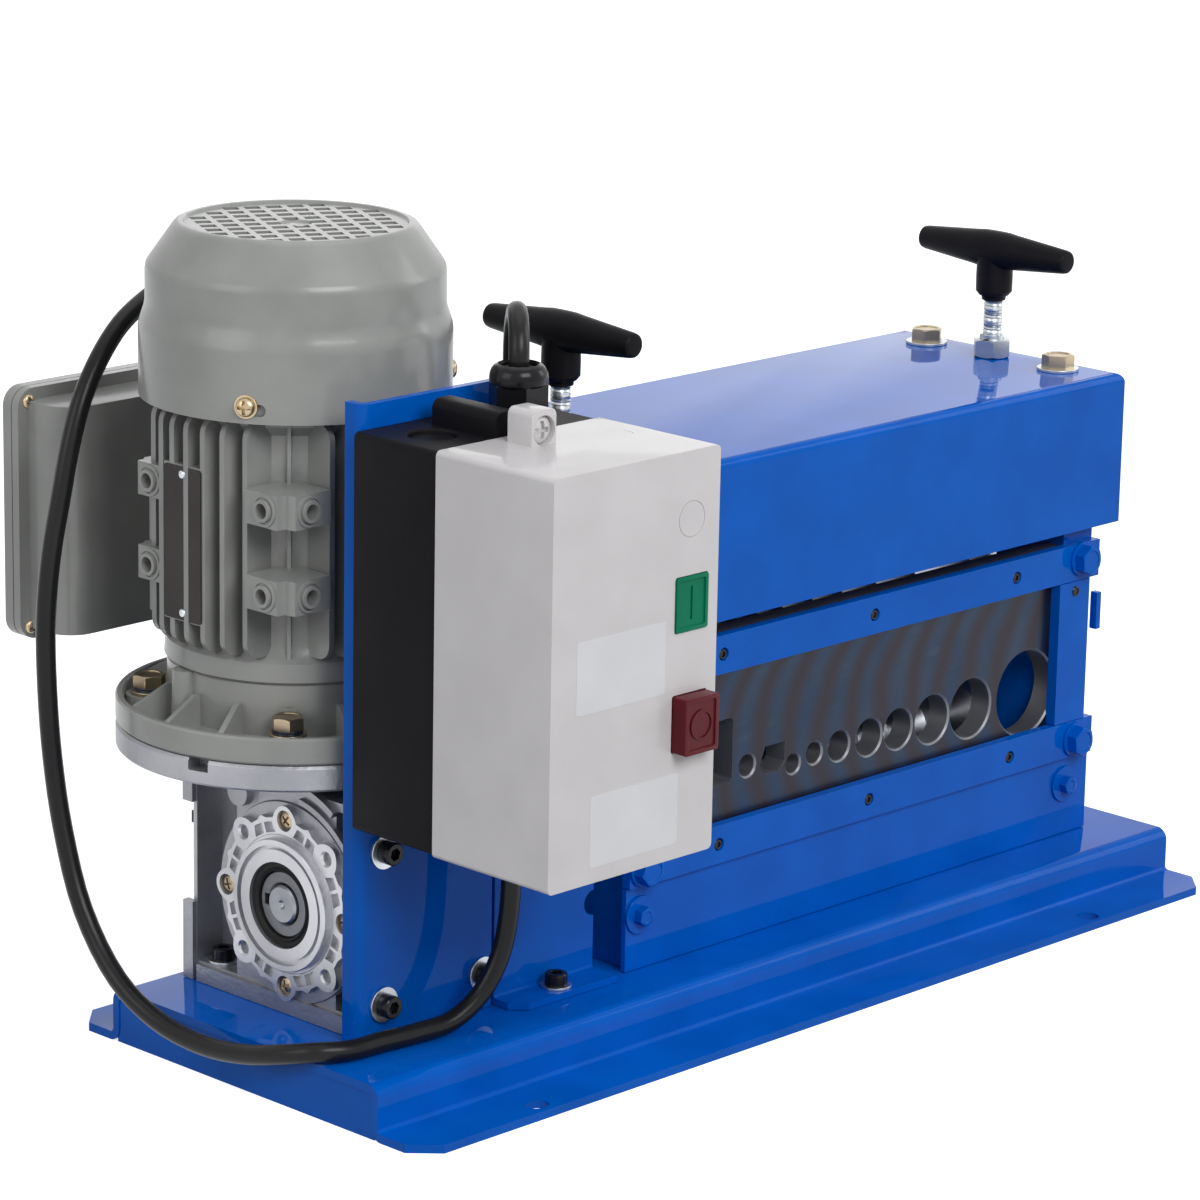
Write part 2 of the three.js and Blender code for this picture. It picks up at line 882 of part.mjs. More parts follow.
function coolingFan() {
  const foot = frameTop + rearShieldHeight + fanLift;
  const hub = turned(ring(fanHub, shaftRadius + seat, foot, foot + fanHeight), "z");
  const disc = turned(ring(fanRadius, fanHub - seat, foot, foot + fanPlate), "z");
  const blade = () =>
    block(
      [fanHub - fanPlate, fanRadius],
      [-fanBladeThickness / 2, fanBladeThickness / 2],
      [foot, foot + fanHeight],
    );
  return join(hub, disc, around("z", fanBlades, blade));
}
piece("cooling_fan", coolingFan(), finishes.black, motor);

function fanCover() {
  const foot = frameTop;
  const skirtTop = foot + skirtHeight;
  const barrelFoot = skirtTop + skirtStep;
  const barrelTop = barrelFoot + barrelHeight;
  const top = barrelTop + coneHeight;
  const outside = [
    [skirtRadius, foot],
    [skirtRadius, skirtTop],
    [barrelRadius, barrelFoot],
    [barrelRadius, barrelTop],
    [coverTopRadius, top],
  ];
  const inside = outside.map(([radius, z], i) => [
    radius - coverSheet,
    i === outside.length - 1 ? z - coverSheet : z,
  ]);
  const shell = turned(
    [...outside, [0, top], [0, top - coverSheet], ...inside.reverse(), outside[0]],
    "z",
    fineSides,
  );
  const vents = [];
  const across = Math.floor(ventReach / ventPitchX);
  const along = Math.floor(ventReach / ventPitchY);
  for (let i = -across; i <= across; i++)
    for (let j = -along; j <= along; j++) {
      const x = i * ventPitchX;
      const y = j * ventPitchY;
      const isDimple = i === 0 && j === 0;
      if (isDimple || Math.hypot(Math.abs(x) + ventLength / 2, y) > ventReach) continue;
      vents.push(
        block(
          [x - ventLength / 2, x + ventLength / 2],
          [y - ventWidth / 2, y + ventWidth / 2],
          [top - coverSheet - overrun, top + overrun],
        ),
      );
    }
  return cut(shell, join(...vents));
}
piece("fan_cover", fanCover(), finishes.grey, motor);

// Terminal box behind the motor, with its lid and gland
const boxFrontY = finReach + seat;
const boxBackY = boxFrontY + terminalDepth;
const boxFoot = terminalFoot;
const boxTop = boxFoot + terminalHeight;
const boxHalf = terminalWidth / 2;

function terminalBox() {
  const zs = [boxFoot, boxTop];
  const walls = prism(
    roundedRectangle([-boxHalf, boxHalf], zs, terminalCorner),
    "y",
    [boxFrontY, boxBackY],
  );
  const rim = prism(
    roundedRectangle(
      [-boxHalf - terminalRim, boxHalf + terminalRim],
      [boxFoot - terminalRim, boxTop + terminalRim],
      terminalRimCorner,
    ),
    "y",
    [boxBackY - terminalRimDepth, boxBackY],
  );
  const inside = prism(
    roundedRectangle(
      [terminalWall - boxHalf, boxHalf - terminalWall],
      [boxFoot + terminalWall, boxTop - terminalWall],
      terminalCorner - terminalWall,
    ),
    "y",
    [boxFrontY + terminalWall, boxBackY + overrun],
  );
  return cut(join(walls, rim), inside);
}
piece("terminal_box", terminalBox(), finishes.grey, motor);

function terminalLid() {
  const face = boxBackY + seat;
  const outline = roundedRectangle(
    [-boxHalf - terminalRim, boxHalf + terminalRim],
    [boxFoot - terminalRim, boxTop + terminalRim],
    terminalRimCorner,
  );
  const recess = prism(
    roundedRectangle(
      [terminalWall - boxHalf, boxHalf - terminalWall],
      [boxFoot + terminalWall, boxTop - terminalWall],
      terminalCorner - terminalWall,
    ),
    "y",
    [face - overrun, face + lidRecess],
  );
  return cut(prism(outline, "y", [face, face + lidDepth]), recess);
}
piece("terminal_box_lid", terminalLid(), finishes.grey, motor);

// A cable gland standing on z = 0 along +Z: a hexagon, a dome and a short mouth for the cord.
function gland() {
  const top = glandHexHeight + glandDomeHeight;
  const hex = bar("z", [seat, glandHexHeight], [0, 0], glandHex, hexSides);
  const dome = turned(
    [
      [0, glandHexHeight - seat],
      [glandDome, glandHexHeight - seat],
      [glandDome, glandHexHeight + glandDomeHeight / 2],
      [glandDome - glandBoreDepth / 2, top - glandDomeHeight / 6],
      [glandLip, top],
      [0, top],
    ],
    "z",
    roundSides,
  );
  const mouth = bar("z", [top - glandBoreDepth, top + overrun], [0, 0], cordRadius + 2 * seat, roundSides);
  return cut(join(hex, dome), mouth);
}
const glandFace = glandHexHeight + glandDomeHeight - glandBoreDepth;
const motorGlandX = motorGlandSide;
const motorGlandY = boxBackY - motorGlandInset;
piece("motor_lead_gland", gland(), finishes.black, motor).position.set(
  motorGlandX,
  motorGlandY,
  boxTop,
);

// Starter bracket: a tall plate with a lip folded back along its left edge
function starterBracket() {
  const left = gearboxX + bracketShift - bracketWidth / 2;
  const right = left + bracketWidth;
  const outline = new THREE.Shape();
  outline.moveTo(right, bracketFrontY);
  outline.lineTo(right, bracketBackY);
  outline.lineTo(left + bracketSheet, bracketBackY);
  outline.lineTo(left + bracketSheet, bracketFrontY + bracketLip);
  outline.lineTo(left, bracketFrontY + bracketLip);
  outline.lineTo(left, bracketFrontY + bracketBend);
  outline.absarc(left + bracketBend, bracketFrontY + bracketBend, bracketBend, Math.PI, 1.5 * Math.PI);
  const sheet = prism(outline, "z", [deckHeight + seat, bracketTop]);
  const holes = boltHolesFront(bracketFrontY - overrun, bracketBackY + overrun);
  return cut(sheet, holes.translate([gearboxX, 0, driveZ]));
}
piece("starter_bracket", starterBracket(), finishes.blue);

// Starter
const starterRight = starterLeft + starterWidth;
const starterGlandX = starterRight - glandFromRight;
const starterGlandY = starterBackY - glandFromBack;

function starterBase() {
  const shell = block(
    [starterLeft, starterRight],
    [starterSplitY, starterBackY],
    [starterBottom, starterTop],
  );
  const inside = block(
    [starterLeft + starterWall, starterRight - starterWall],
    [starterSplitY - overrun, starterBackY - starterWall],
    [starterBottom + starterWall, starterTop - starterWall],
  );
  const ridgeLeft = starterLeft + ridgeInset;
  const ridge = block(
    [ridgeLeft, ridgeLeft + ridgeWidth],
    [starterSplitY, starterBackY - ridgeHeight],
    [starterTop - seat, starterTop + ridgeHeight],
  );
  const knockout = bar(
    "z",
    [starterTop - knockoutDepth, starterTop + overrun],
    [starterLeft + knockoutFromLeft, (starterSplitY + starterBackY) / 2],
    knockoutRadius,
    smallSides,
  );
  return cut(join(shell, ridge), inside, knockout);
}
piece("starter_base", starterBase(), finishes.black);

const buttonX = starterRight - buttonFromRight;
const startZ = starterBottom + startCentreShare * starterHeight;
const stopZ = starterBottom + stopCentreShare * starterHeight;

function starterCover() {
  const xs = [starterLeft - starterLip, starterRight + starterLip];
  const zs = [starterBottom - starterLip, starterTop + starterLip];
  const back = starterSplitY - seat;
  const outline = roundedRectangle(xs, zs, starterEdge);
  const shell = prism(outline, "y", [starterFrontY, back]);
  const inside = block(
    [xs[0] + starterWall, xs[1] - starterWall],
    [starterFrontY + starterWall, back + overrun],
    [zs[0] + starterWall, zs[1] - starterWall],
  );
  const bossX = starterLeft + screwBossFromLeft;
  const boss = block(
    [bossX - screwBossWidth / 2, bossX + screwBossWidth / 2],
    [back - screwBossInset - screwBossDepth, back - screwBossInset],
    [zs[1] - starterWall / 2, zs[1] + screwBossHeight],
  );
  const window = (width, height, middle) =>
    block(
      [buttonX - width / 2 - buttonPlay, buttonX + width / 2 + buttonPlay],
      [starterFrontY - overrun, starterFrontY + starterWall + overrun],
      [middle - height / 2 - buttonPlay, middle + height / 2 + buttonPlay],
    );
  return cut(
    join(cut(shell, inside), boss),
    window(startWidth, startHeight, startZ),
    window(stopWidth, stopHeight, stopZ),
  );
}
piece("starter_cover", starterCover(), finishes.light);

// A push button: its cap stands proud of the cover and a stem runs back inside.
function button(width, height, stand, middle) {
  const cap = prism(
    roundedRectangle(
      [buttonX - width / 2, buttonX + width / 2],
      [middle - height / 2, middle + height / 2],
      buttonCorner,
    ),
    "y",
    [starterFrontY - stand, starterFrontY + starterWall + buttonPlay],
  );
  const stem = block(
    [buttonX - buttonStemWidth / 2, buttonX + buttonStemWidth / 2],
    [starterFrontY + starterWall, starterFrontY + starterWall + buttonStem],
    [middle - buttonStemWidth / 2, middle + buttonStemWidth / 2],
  );
  return join(cap, stem);
}
piece("start_button", button(startWidth, startHeight, startStand, startZ), finishes.green);
piece("stop_button", button(stopWidth, stopHeight, stopStand, stopZ), finishes.red);

function contactor() {
  const middleX = (starterLeft + starterRight) / 2;
  const middleZ = (starterBottom + starterTop) / 2;
  const back = starterBackY - starterWall - seat;
  const body = block(
    [middleX - contactorWidth / 2, middleX + contactorWidth / 2],
    [back - contactorDepth, back],
    [middleZ - contactorHeight / 2, middleZ + contactorHeight / 2],
  );
  const cap = block(
    [middleX - contactorWidth / 4, middleX + contactorWidth / 4],
    [back - contactorDepth - contactorCap, back - contactorDepth + seat],
    [middleZ - contactorHeight / 4, middleZ + contactorHeight / 4],
  );
  return join(body, cap);
}
piece("contactor", contactor(), finishes.black);

piece("mains_gland", gland(), finishes.black).position.set(starterGlandX, starterGlandY, starterTop);
const leadGland = piece("starter_lead_gland", gland(), finishes.black);
leadGland.position.set(starterGlandX, starterGlandY, starterBottom);
leadGland.rotation.x = Math.PI;

// Shaft guard: an upright sheet with its foot folded forward
function shaftGuard() {
  const right = guardLeft + guardWidth;
  const foot = deckHeight + seat;
  const profile = [
    at(guardFront + guardSheet, foot),
    at(guardFront + guardSheet, foot + guardHeight),
    at(guardFront, foot + guardHeight),
    at(guardFront, foot + guardSheet),
    at(guardFront - guardFoot, foot + guardSheet),
    at(guardFront - guardFoot, foot),
  ];
  const sheet = prism(profile, "x", [guardLeft, right]);
  const bolt = bar(
    "z",
    [foot - overrun, foot + guardSheet + overrun],
    [(guardLeft + right) / 2, guardFront - guardFoot / 2],
    guardBoltRadius,
    smallSides,
  );
  const notch = bar(
    "y",
    [guardFront - overrun, guardFront + guardSheet + overrun],
    [right, foot + guardNotchHeight],
    guardNotch,
    smallSides,
  );
  return cut(sheet, bolt, notch);
}
piece("shaft_guard", shaftGuard(), finishes.blue);

// Head: side plates with the feed bearing's bore and the slot for the blade block
function sidePlate(isLeft) {
  const xs = isLeft ? [headLeft, headInnerLeft] : [headInnerRight, headRight];
  const through = [xs[0] - overrun, xs[1] + overrun];
  const plate = block(xs, [sideFront, sideBack], [headFloor, sideTop]);
  const outer = isLeft ? headLeft + postInset - postWidth / 2 : headInnerRight - postInset;
  const postXs = isLeft
    ? [headInnerLeft + postInset - postWidth, headInnerLeft + postInset]
    : [outer, outer + postWidth];
  const post = block(
    postXs,
    [railFrontY, railBackY],
    [headFloor + bottomRailHeight + railHeight + seat, headFloor + topRailHeight - seat],
  );
  const root = block(
    [Math.max(postXs[0], xs[0]), Math.min(postXs[1], xs[1])],
    [railBackY - seat, sideFront + seat],
    [headFloor + bottomRailHeight + railHeight + seat, headFloor + topRailHeight - seat],
  );
  const slot = block(
    through,
    [driveY - blockHalf - seat, driveY + blockHalf + seat],
    [bladeShaftZ - blockHalf - blockDown - seat, bladeShaftZ + blockHalf + blockUp + seat],
  );
  const screwX = isLeft ? screwLeftX : screwRightX;
  return cut(
    join(plate, post, root),
    slot,
    bar("x", through, [driveY, driveZ], bearingRadius),
    bar("z", [bladeShaftZ, sideTop + overrun], [screwX, driveY], screwHole, smallSides),
  );
}
piece("side_plate_left", sidePlate(true), finishes.blue);
piece("side_plate_right", sidePlate(false), finishes.blue);

for (const [name, left] of [
  ["feed_bearing_left", headLeft],
  ["feed_bearing_right", headInnerRight],
]) {
  const zs = [left + seat, left + sideThickness - seat];
  const bearing = turned(ring(bearingRadius - seat, bearingBore, ...zs), "x");
  piece(name, bearing.translate([0, driveY, driveZ]), finishes.steel);
}

// The sliding block that carries one end of the blade shaft, with a socket for the press screw's tip.
function bladeBlock(left) {
  const right = left + sideThickness;
  const body = block(
    [left + seat, right - seat],
    [driveY - blockHalf, driveY + blockHalf],
    [bladeShaftZ - blockHalf, bladeShaftZ + blockHalf],
  );
  const bore = bar("x", [left - overrun, right + overrun], [driveY, bladeShaftZ], bearingBore);
  const socket = bar(
    "z",
    [bladeShaftZ + blockHalf - screwSeatDepth, bladeShaftZ + blockHalf + overrun],
    [(left + right) / 2, driveY],
    clearBore(screwRadius, smallSides),
    smallSides,
  );
  return cut(body, bore, socket);
}
piece("blade_block_left", bladeBlock(headLeft), finishes.steel);
piece("blade_block_right", bladeBlock(headInnerRight), finishes.steel);

// Guide plate with its row of channels
function guidePlate() {
  const ys = [sideFront, sideFront + guideThickness];
  const through = [ys[0] - overrun, ys[1] + overrun];
  const plate = block(
    [guideLeft, guideLeft + guideLength],
    ys,
    [headFloor + guideBottom, headFloor + guideTop],
  );
  const rounds = roundChannels.map(({ bore, lift, placeShare }) =>
    bar("y", through, [channelX(placeShare), channelZ + lift], bore / 2),
  );
  const flatX = channelX(flatChannelShare);
  const flatZ = channelZ + flatChannelLift;
  const halfWidth = flatChannelWidth / 2;
  const halfHeight = flatChannelHeight / 2;
  const flat = prism(
    [
      at(flatX - halfWidth + flatChannelSlant, flatZ - halfHeight),
      at(flatX + halfWidth - flatChannelSlant, flatZ - halfHeight),
      at(flatX + halfWidth, flatZ - halfHeight + flatChannelSlant),
      at(flatX + halfWidth, flatZ + halfHeight),
      at(flatX - halfWidth, flatZ + halfHeight - flatChannelSlant),
      at(flatX - halfWidth, flatZ - halfHeight + flatChannelSlant),
    ],
    "y",
    through,
  );
  const slotX = channelX(slotChannelShare);
  const slotZ = channelZ + slotChannelLift;
  const slot = block(
    [slotX - slotChannelWidth / 2, slotX + slotChannelWidth / 2],
    through,
    [slotZ - slotChannelHeight / 2, slotZ + slotChannelHeight / 2],
  );
  return cut(plate, ...rounds, flat, slot);
}
piece("guide_plate", guidePlate(), finishes.steel);

// Flat rails across the front, and the sheets below them
const rail = (foot) =>
  block([railLeft, railRight], [railFrontY, railBackY], [headFloor + foot, headFloor + foot + railHeight]);
piece("top_rail", rail(topRailHeight), finishes.blue);
piece("bottom_rail", rail(bottomRailHeight), finishes.blue);
piece(
  "front_panel",
  block(
    [railLeft, railRight],
    [railBackY - panelSheet, railBackY],
    [headFloor, headFloor + bottomRailHeight - seat],
  ),
  finishes.blue,
);
piece(
  "rear_panel",
  block(
    [headLeft, headRight],
    [sideBack + seat, sideBack + seat + panelSheet],
    [headFloor, headFloor + rearPanelHeight],
  ),
  finishes.blue,
);

// Top cover: a channel that stands on the side plates and overhangs them at each end
function topCover() {
  const xs = [headLeft - topCoverLeftOverhang, headRight + topCoverOverhang];
  const foot = coverTopZ - topCoverDrop;
  const under = coverTopZ - topCoverSheet;
  const outline = new THREE.Shape();
  outline.moveTo(topCoverFront, foot);
  outline.lineTo(topCoverFront + topCoverSheet, foot);
  outline.lineTo(topCoverFront + topCoverSheet, under);
  outline.lineTo(topCoverBack - topCoverSheet, under);
  outline.lineTo(topCoverBack - topCoverSheet, foot);
  outline.lineTo(topCoverBack, foot);
  outline.lineTo(topCoverBack, coverTopZ - topCoverBend);
  outline.absarc(topCoverBack - topCoverBend, coverTopZ - topCoverBend, topCoverBend, 0, Math.PI / 2);
  outline.lineTo(topCoverFront + topCoverBend, coverTopZ);
  outline.absarc(topCoverFront + topCoverBend, coverTopZ - topCoverBend, topCoverBend, Math.PI / 2, Math.PI);
  const holes = [screwLeftX, screwRightX].map((x) =>
    bar("z", [under - overrun, coverTopZ + overrun], [x, driveY], screwHole, smallSides),
  );
  return cut(prism(outline, "x", xs), ...holes);
}
piece("top_cover", topCover(), finishes.blue);

// Feed shaft from the gearbox's far face through the head, and the roller on it
const feedShaftLeft = gearboxX - hollowHalf - feedShaftProud;
piece(
  "feed_shaft",
  bar("x", [feedShaftLeft, headRight], [driveY, driveZ], feedShaftRadius),
  finishes.steel,
);

const channelPlaces = [
  ...roundChannels.map(({ bore, lift, placeShare }) => ({ half: bore / 2, lift, placeShare })),
  { half: flatChannelHeight / 2, lift: flatChannelLift, placeShare: flatChannelShare },
].sort((a, b) => a.placeShare - b.placeShare);

// The roller's half section: a V groove under each channel, as deep as the channel's lowest point.
function feedRoller() {
  const left = headInnerLeft + rollerEndLand;
  const right = headInnerRight - rollerEndLand;
  const section = [
    [rollerBore, left],
    [rollerRadius, left],
  ];
  channelPlaces.forEach(({ half, lift, placeShare }, i) => {
    const middle = channelX(placeShare);
    const before = i === 0 ? left : channelX(channelPlaces[i - 1].placeShare);
    const after =
      i === channelPlaces.length - 1 ? right : channelX(channelPlaces[i + 1].placeShare);
    const reach = Math.min(half, (middle - before) / 2, (after - middle) / 2) - grooveLand / 2;
    const lowest = channelZ + lift - half - driveZ;
    const floor = Math.min(rollerRadius - seat, Math.max(rollerCore, lowest));
    section.push([rollerRadius, middle - reach], [floor, middle], [rollerRadius, middle + reach]);
  });
  section.push([rollerRadius, right], [rollerBore, right], [rollerBore, left]);
  return turned(section, "x", bladeSides).translate([0, driveY, driveZ]);
}
piece("feed_roller", feedRoller(), finishes.steel);

// Blade shaft and its round blades, one over each channel but the tall slot
piece(
  "blade_shaft",
  bar("x", [headLeft + seat, headRight - seat], [driveY, bladeShaftZ], bladeShaftRadius),
  finishes.steel,
);

function blade() {
  const half = bladeThickness / 2;
  return turned(
    [
      [bladeBore, -half],
      [bladeRadius - bladeBevel, -half],
      [bladeRadius, -bladeFlat / 2],
      [bladeRadius, bladeFlat / 2],
      [bladeRadius - bladeBevel, half],
      [bladeBore, half],
      [bladeBore, -half],
    ],
    "x",
    bladeSides,
  );
}
channelPlaces.forEach(({ placeShare }, i) => {
  const disc = piece("blade_" + (i + 1), blade(), finishes.zinc);
  disc.position.set(channelX(placeShare), driveY, bladeShaftZ);
});

// Press screws, lock nuts and T-handles, one set over each side plate
const screwTip = bladeShaftZ + blockHalf - screwSeatDepth + seat;
const handleFoot = coverTopZ + handleStemFoot;

function pressScrew() {
  return bar("z", [screwTip, handleFoot + handleGrip], [0, 0], screwRadius, smallSides);
}

function lockNut() {
  const foot = coverTopZ + seat;
  const hex = bar("z", [foot, foot + nutHeight], [0, 0], nutHex, hexSides);
  const bore = clearBore(screwRadius, smallSides);
  return cut(hex, bar("z", [foot - overrun, foot + nutHeight + overrun], [0, 0], bore, smallSides));
}

function tHandle() {
  const stem = turned(
    [
      [0, handleFoot],
      [handleStemRadius - handleStemChamfer, handleFoot],
      [handleStemRadius, handleFoot + handleStemChamfer],
      [handleStemRadius, handleFoot + handleBarHeight],
      [0, handleFoot + handleBarHeight],
    ],
    "z",
    roundSides,
  );
  const grip = turned(
    [
      [0, -handleBarHalf],
      [handleBarEnd, -handleBarHalf],
      [handleBarRadius, -handleStemRadius],
      [handleBarRadius, handleStemRadius],
      [handleBarEnd, handleBarHalf],
      [0, handleBarHalf],
    ],
    "y",
    roundSides,
  );
  const boreRange = [handleFoot - overrun, handleFoot + handleGrip + seat];
  const bore = bar("z", boreRange, [0, 0], handleBore, smallSides);
  return cut(join(stem, grip.translate([0, 0, handleFoot + handleBarHeight])), bore);
}

for (const [side, x] of [
  ["left", screwLeftX],
  ["right", screwRightX],
]) {
  piece("press_screw_" + side, pressScrew(), finishes.zinc).position.set(x, driveY, 0);
  piece("lock_nut_" + side, lockNut(), finishes.zinc).position.set(x, driveY, 0);
  piece("t_handle_" + side, tHandle(), finishes.black).position.set(x, driveY, 0);
}

// A cord: a round section pushed along a smooth curve through points chosen by hand.
function cord(points, radius, sides, steps) {
  const curve = new THREE.CatmullRomCurve3(points.map((p) => new THREE.Vector3(...p)));
  const section = new THREE.Shape(
    Array.from({ length: sides }, (_, i) => {
      const angle = (2 * Math.PI * i) / sides;
      return at(radius * Math.cos(angle), radius * Math.sin(angle));
    }),
  );
  const count = steps || Math.ceil(curve.getLength() / cordStep);
  const geometry = new THREE.ExtrudeGeometry(section, { steps: count, extrudePath: curve });
  return { shape: solid(geometry), length: curve.getLength() };
}

// Motor lead: out of the terminal box, down beside the base, over the deck's edge and up to the starter
const motorLeadStart = [
  gearboxX + motorGlandX,
  motorY + motorGlandY,
  motorZ + boxTop + glandFace + seat,
];
const starterLeadEnd = [starterGlandX, starterGlandY, starterBottom - glandFace - seat];
const motorLead = cord(
  [
    motorLeadStart,
    [motorLeadStart[0], motorLeadStart[1], 307],
    [88, 224.6, 319],
    [80, 221.8, 326],
    [68, 219, 328],
    [54, 216, 324],
    [39, 212.5, 317],
    [24, 208.5, 305],
    [12, 206, 289],
    [4, 204.7, 270],
    [-2, 204.7, 246],
    [-7, 205.8, 220],
    [-10.5, 205.5, 192],
    [-13, 202, 160],
    [-14.5, 197, 130],
    [-15.5, 189, 99],
    [-16, 175, 65],
    [-15.5, 152, 38],
    [-14, 127, 25],
    [-12, 100, 20.5],
    [-10, 74, 22.5],
    [-7, 52, 27.6],
    [-1, 38.5, 30.6],
    [11, 31.5, 30.4],
    [30, 30, 30.1],
    [50, 28, 30.1],
    [68, 25, 32],
    [82, 21.5, 42],
    [91, 19, 58],
    [95, 17.7, 78],
    starterLeadEnd,
  ],
  cordRadius,
  cordSides,
);
piece("motor_lead", motorLead.shape, finishes.rubber);

// Mains lead: up out of the starter, over the bracket, down behind it, across the deck and off its back
const mainsStart = [starterGlandX, starterGlandY, starterTop + glandFace + seat];
const coilEntry = [coilX, coilY - coilRadius, cordRadius + seat];
const mainsLead = cord(
  [
    mainsStart,
    [mainsStart[0], mainsStart[1], 328],
    [98.6, 20.2, 335.5],
    [103.6, 25.8, 340.5],
    [109.8, 32.8, 341.8],
    [116.4, 40.2, 338.6],
    [122.3, 47.1, 330.5],
    [126.5, 51.8, 318],
    [129.5, 54.3, 302],
    [133, 56.3, 280],
    [138, 57.6, 252],
    [143, 58, 220],
    [147, 58, 185],
    [149.5, 58, 148],
    [150, 58, 112],
    [150, 58.5, 78],
    [150, 63, 55],
    [150, 75, 38.5],
    [150, 94, 31.5],
    [150, 120, 30.3],
    [151, 144, 30.4],
    [154, 168, 31],
    [159, 187, 26],
    [167, 203, 17],
    [181, 217, 9],
    [203, 225, 5.6],
    [230, 227.5, 4.8],
    [262, 226, 4.8],
    [290, coilEntry[1], coilEntry[2]],
    [coilEntry[0] - 2 * seat, coilEntry[1], coilEntry[2]],
  ],
  cordRadius,
  cordSides,
  mainsLeadSteps,
);
piece("mains_lead", mainsLead.shape, finishes.rubber);

// The coil: in along the floor, up one layer in the half turn where it reverses, and out again on top.
function coilPoints() {
  const points = [];
  const climb = 0.5;
  const turns = 2 * coilTurnsEach + climb;
  const least = coilRadius - coilPitch * coilTurnsEach;
  const steps = Math.round(turns * coilStepsPerTurn);
  for (let i = 0; i <= steps; i++) {
    const turn = (i * turns) / steps;
    const beforeClimb = Math.max(0, coilTurnsEach - turn);
    const afterClimb = Math.max(0, turn - coilTurnsEach - climb);
    const share = Math.min(1, Math.max(0, (turn - coilTurnsEach) / climb));
    const tuck = coilTuckShare * coilPitch * Math.sin(Math.PI * share);
    const radius = least + coilPitch * (beforeClimb + afterClimb) - tuck;
    const angle = 2 * Math.PI * turn - Math.PI / 2;
    const rise = coilLayer * (share - Math.sin(2 * Math.PI * share) / (2 * Math.PI));
    points.push([
      coilX + radius * Math.cos(angle),
      coilY + radius * Math.sin(angle),
      cordRadius + seat + rise,
    ]);
  }
  return points;
}

// The least gap between stretches of a tube that are more than half a turn apart.
function leastGap(points, apart, diameter) {
  let least = Infinity;
  for (let i = 0; i < points.length; i++)
    for (let j = i + apart; j < points.length; j++)
      least = Math.min(least, Math.hypot(...points[i].map((v, k) => v - points[j][k])));
  return least - diameter;
}
const turns = coilPoints();
const coilSteps = turns.length - 1;
const last = turns[coilSteps];
const beforeLast = turns[coilSteps - 1];
const heading = [last[0] - beforeLast[0], last[1] - beforeLast[1]];
const headingLength = Math.hypot(...heading);
const tail = heading.map((v) => v / headingLength);
const alongTail = (run) => [last[0] + tail[0] * run, last[1] + tail[1] * run, last[2]];
const plugPlace = alongTail(coilTail);
const coil = cord(
  [...turns, alongTail(coilTail / 3), alongTail((2 * coilTail) / 3), plugPlace],
  cordRadius,
  coilSides,
  coilSteps + 3,
);
piece("mains_coil", coil.shape, finishes.rubber);
console.log(
  "coil: least gap " + leastGap(turns, coilStepsPerTurn / 2, 2 * cordRadius).toFixed(2) + " mm",
);
console.log(
  "cords: motor lead " +
    Math.round(motorLead.length) +
    " mm, mains lead " +
    Math.round(mainsLead.length) +
    " + coil " +
    Math.round(coil.length) +
    " mm",
);

// Mains plug on the coil's free end, lying on the floor, with two blades and a round earth pin
function mainsPlug() {
  const neck = turned(
    [
      [0, 2 * seat],
      [plugTipRadius, 2 * seat],
      [plugNeckRadius, plugNeckLength],
      [0, plugNeckLength],
    ],
    "x",
    smallSides,
  );
  const bodyFrom = plugNeckLength - seat;
  const bodyTo = bodyFrom + plugLength;
  const body = prism(
    roundedRectangle([-plugWidth / 2, plugWidth / 2], [-plugHeight / 2, plugHeight / 2], plugCorner),
    "x",
    [bodyFrom, bodyTo],
  );
  const blades = [-1, 1].map((side) =>
    block(
      [bodyTo - seat, bodyTo + pinLength],
      [side * pinSpread - pinThickness / 2, side * pinSpread + pinThickness / 2],
      [-pinWidth / 2 + earthPinDrop / 2, pinWidth / 2 + earthPinDrop / 2],
    ),
  );
  const earth = bar("x", [bodyTo - seat, bodyTo + pinLength], [0, -earthPinDrop], earthPinRadius, smallSides);
  return join(neck, body, ...blades, earth);
}
const plug = piece("mains_plug", mainsPlug(), finishes.black);
plug.position.set(...plugPlace);
plug.rotation.z = Math.atan2(tail[1], tail[0]);

// The origin: the middle of the machine's footprint, without the free cords, on the floor
const cordPieces = ["motor_lead", "mains_lead", "mains_coil", "mains_plug"];
machine.updateMatrixWorld(true);
const bounds = new THREE.Box3();
machine.traverse((mesh) => {
  if (mesh.isMesh && !cordPieces.includes(mesh.name)) bounds.expandByObject(mesh);
});
const middle = bounds.getCenter(new THREE.Vector3());
machine.position.set(-middle.x, -middle.y, 0);
console.log("origin at " + middle.x.toFixed(3) + ", " + middle.y.toFixed(3) + " from the base's corner");

export default machine;
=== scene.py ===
# %% [markdown]
# # A bench wire stripping machine
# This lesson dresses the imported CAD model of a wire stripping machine. An upright motor drives a worm
# gearbox, which turns a grooved roller under a row of round blades. Each part below says what the real
# piece is, how it could be made in Blender, and why it is made this way.

# %% Load the CAD frame
import json
import math

import bmesh
import bpy
from mathutils import Matrix, Vector
from mathutils.geometry import tessellate_polygon


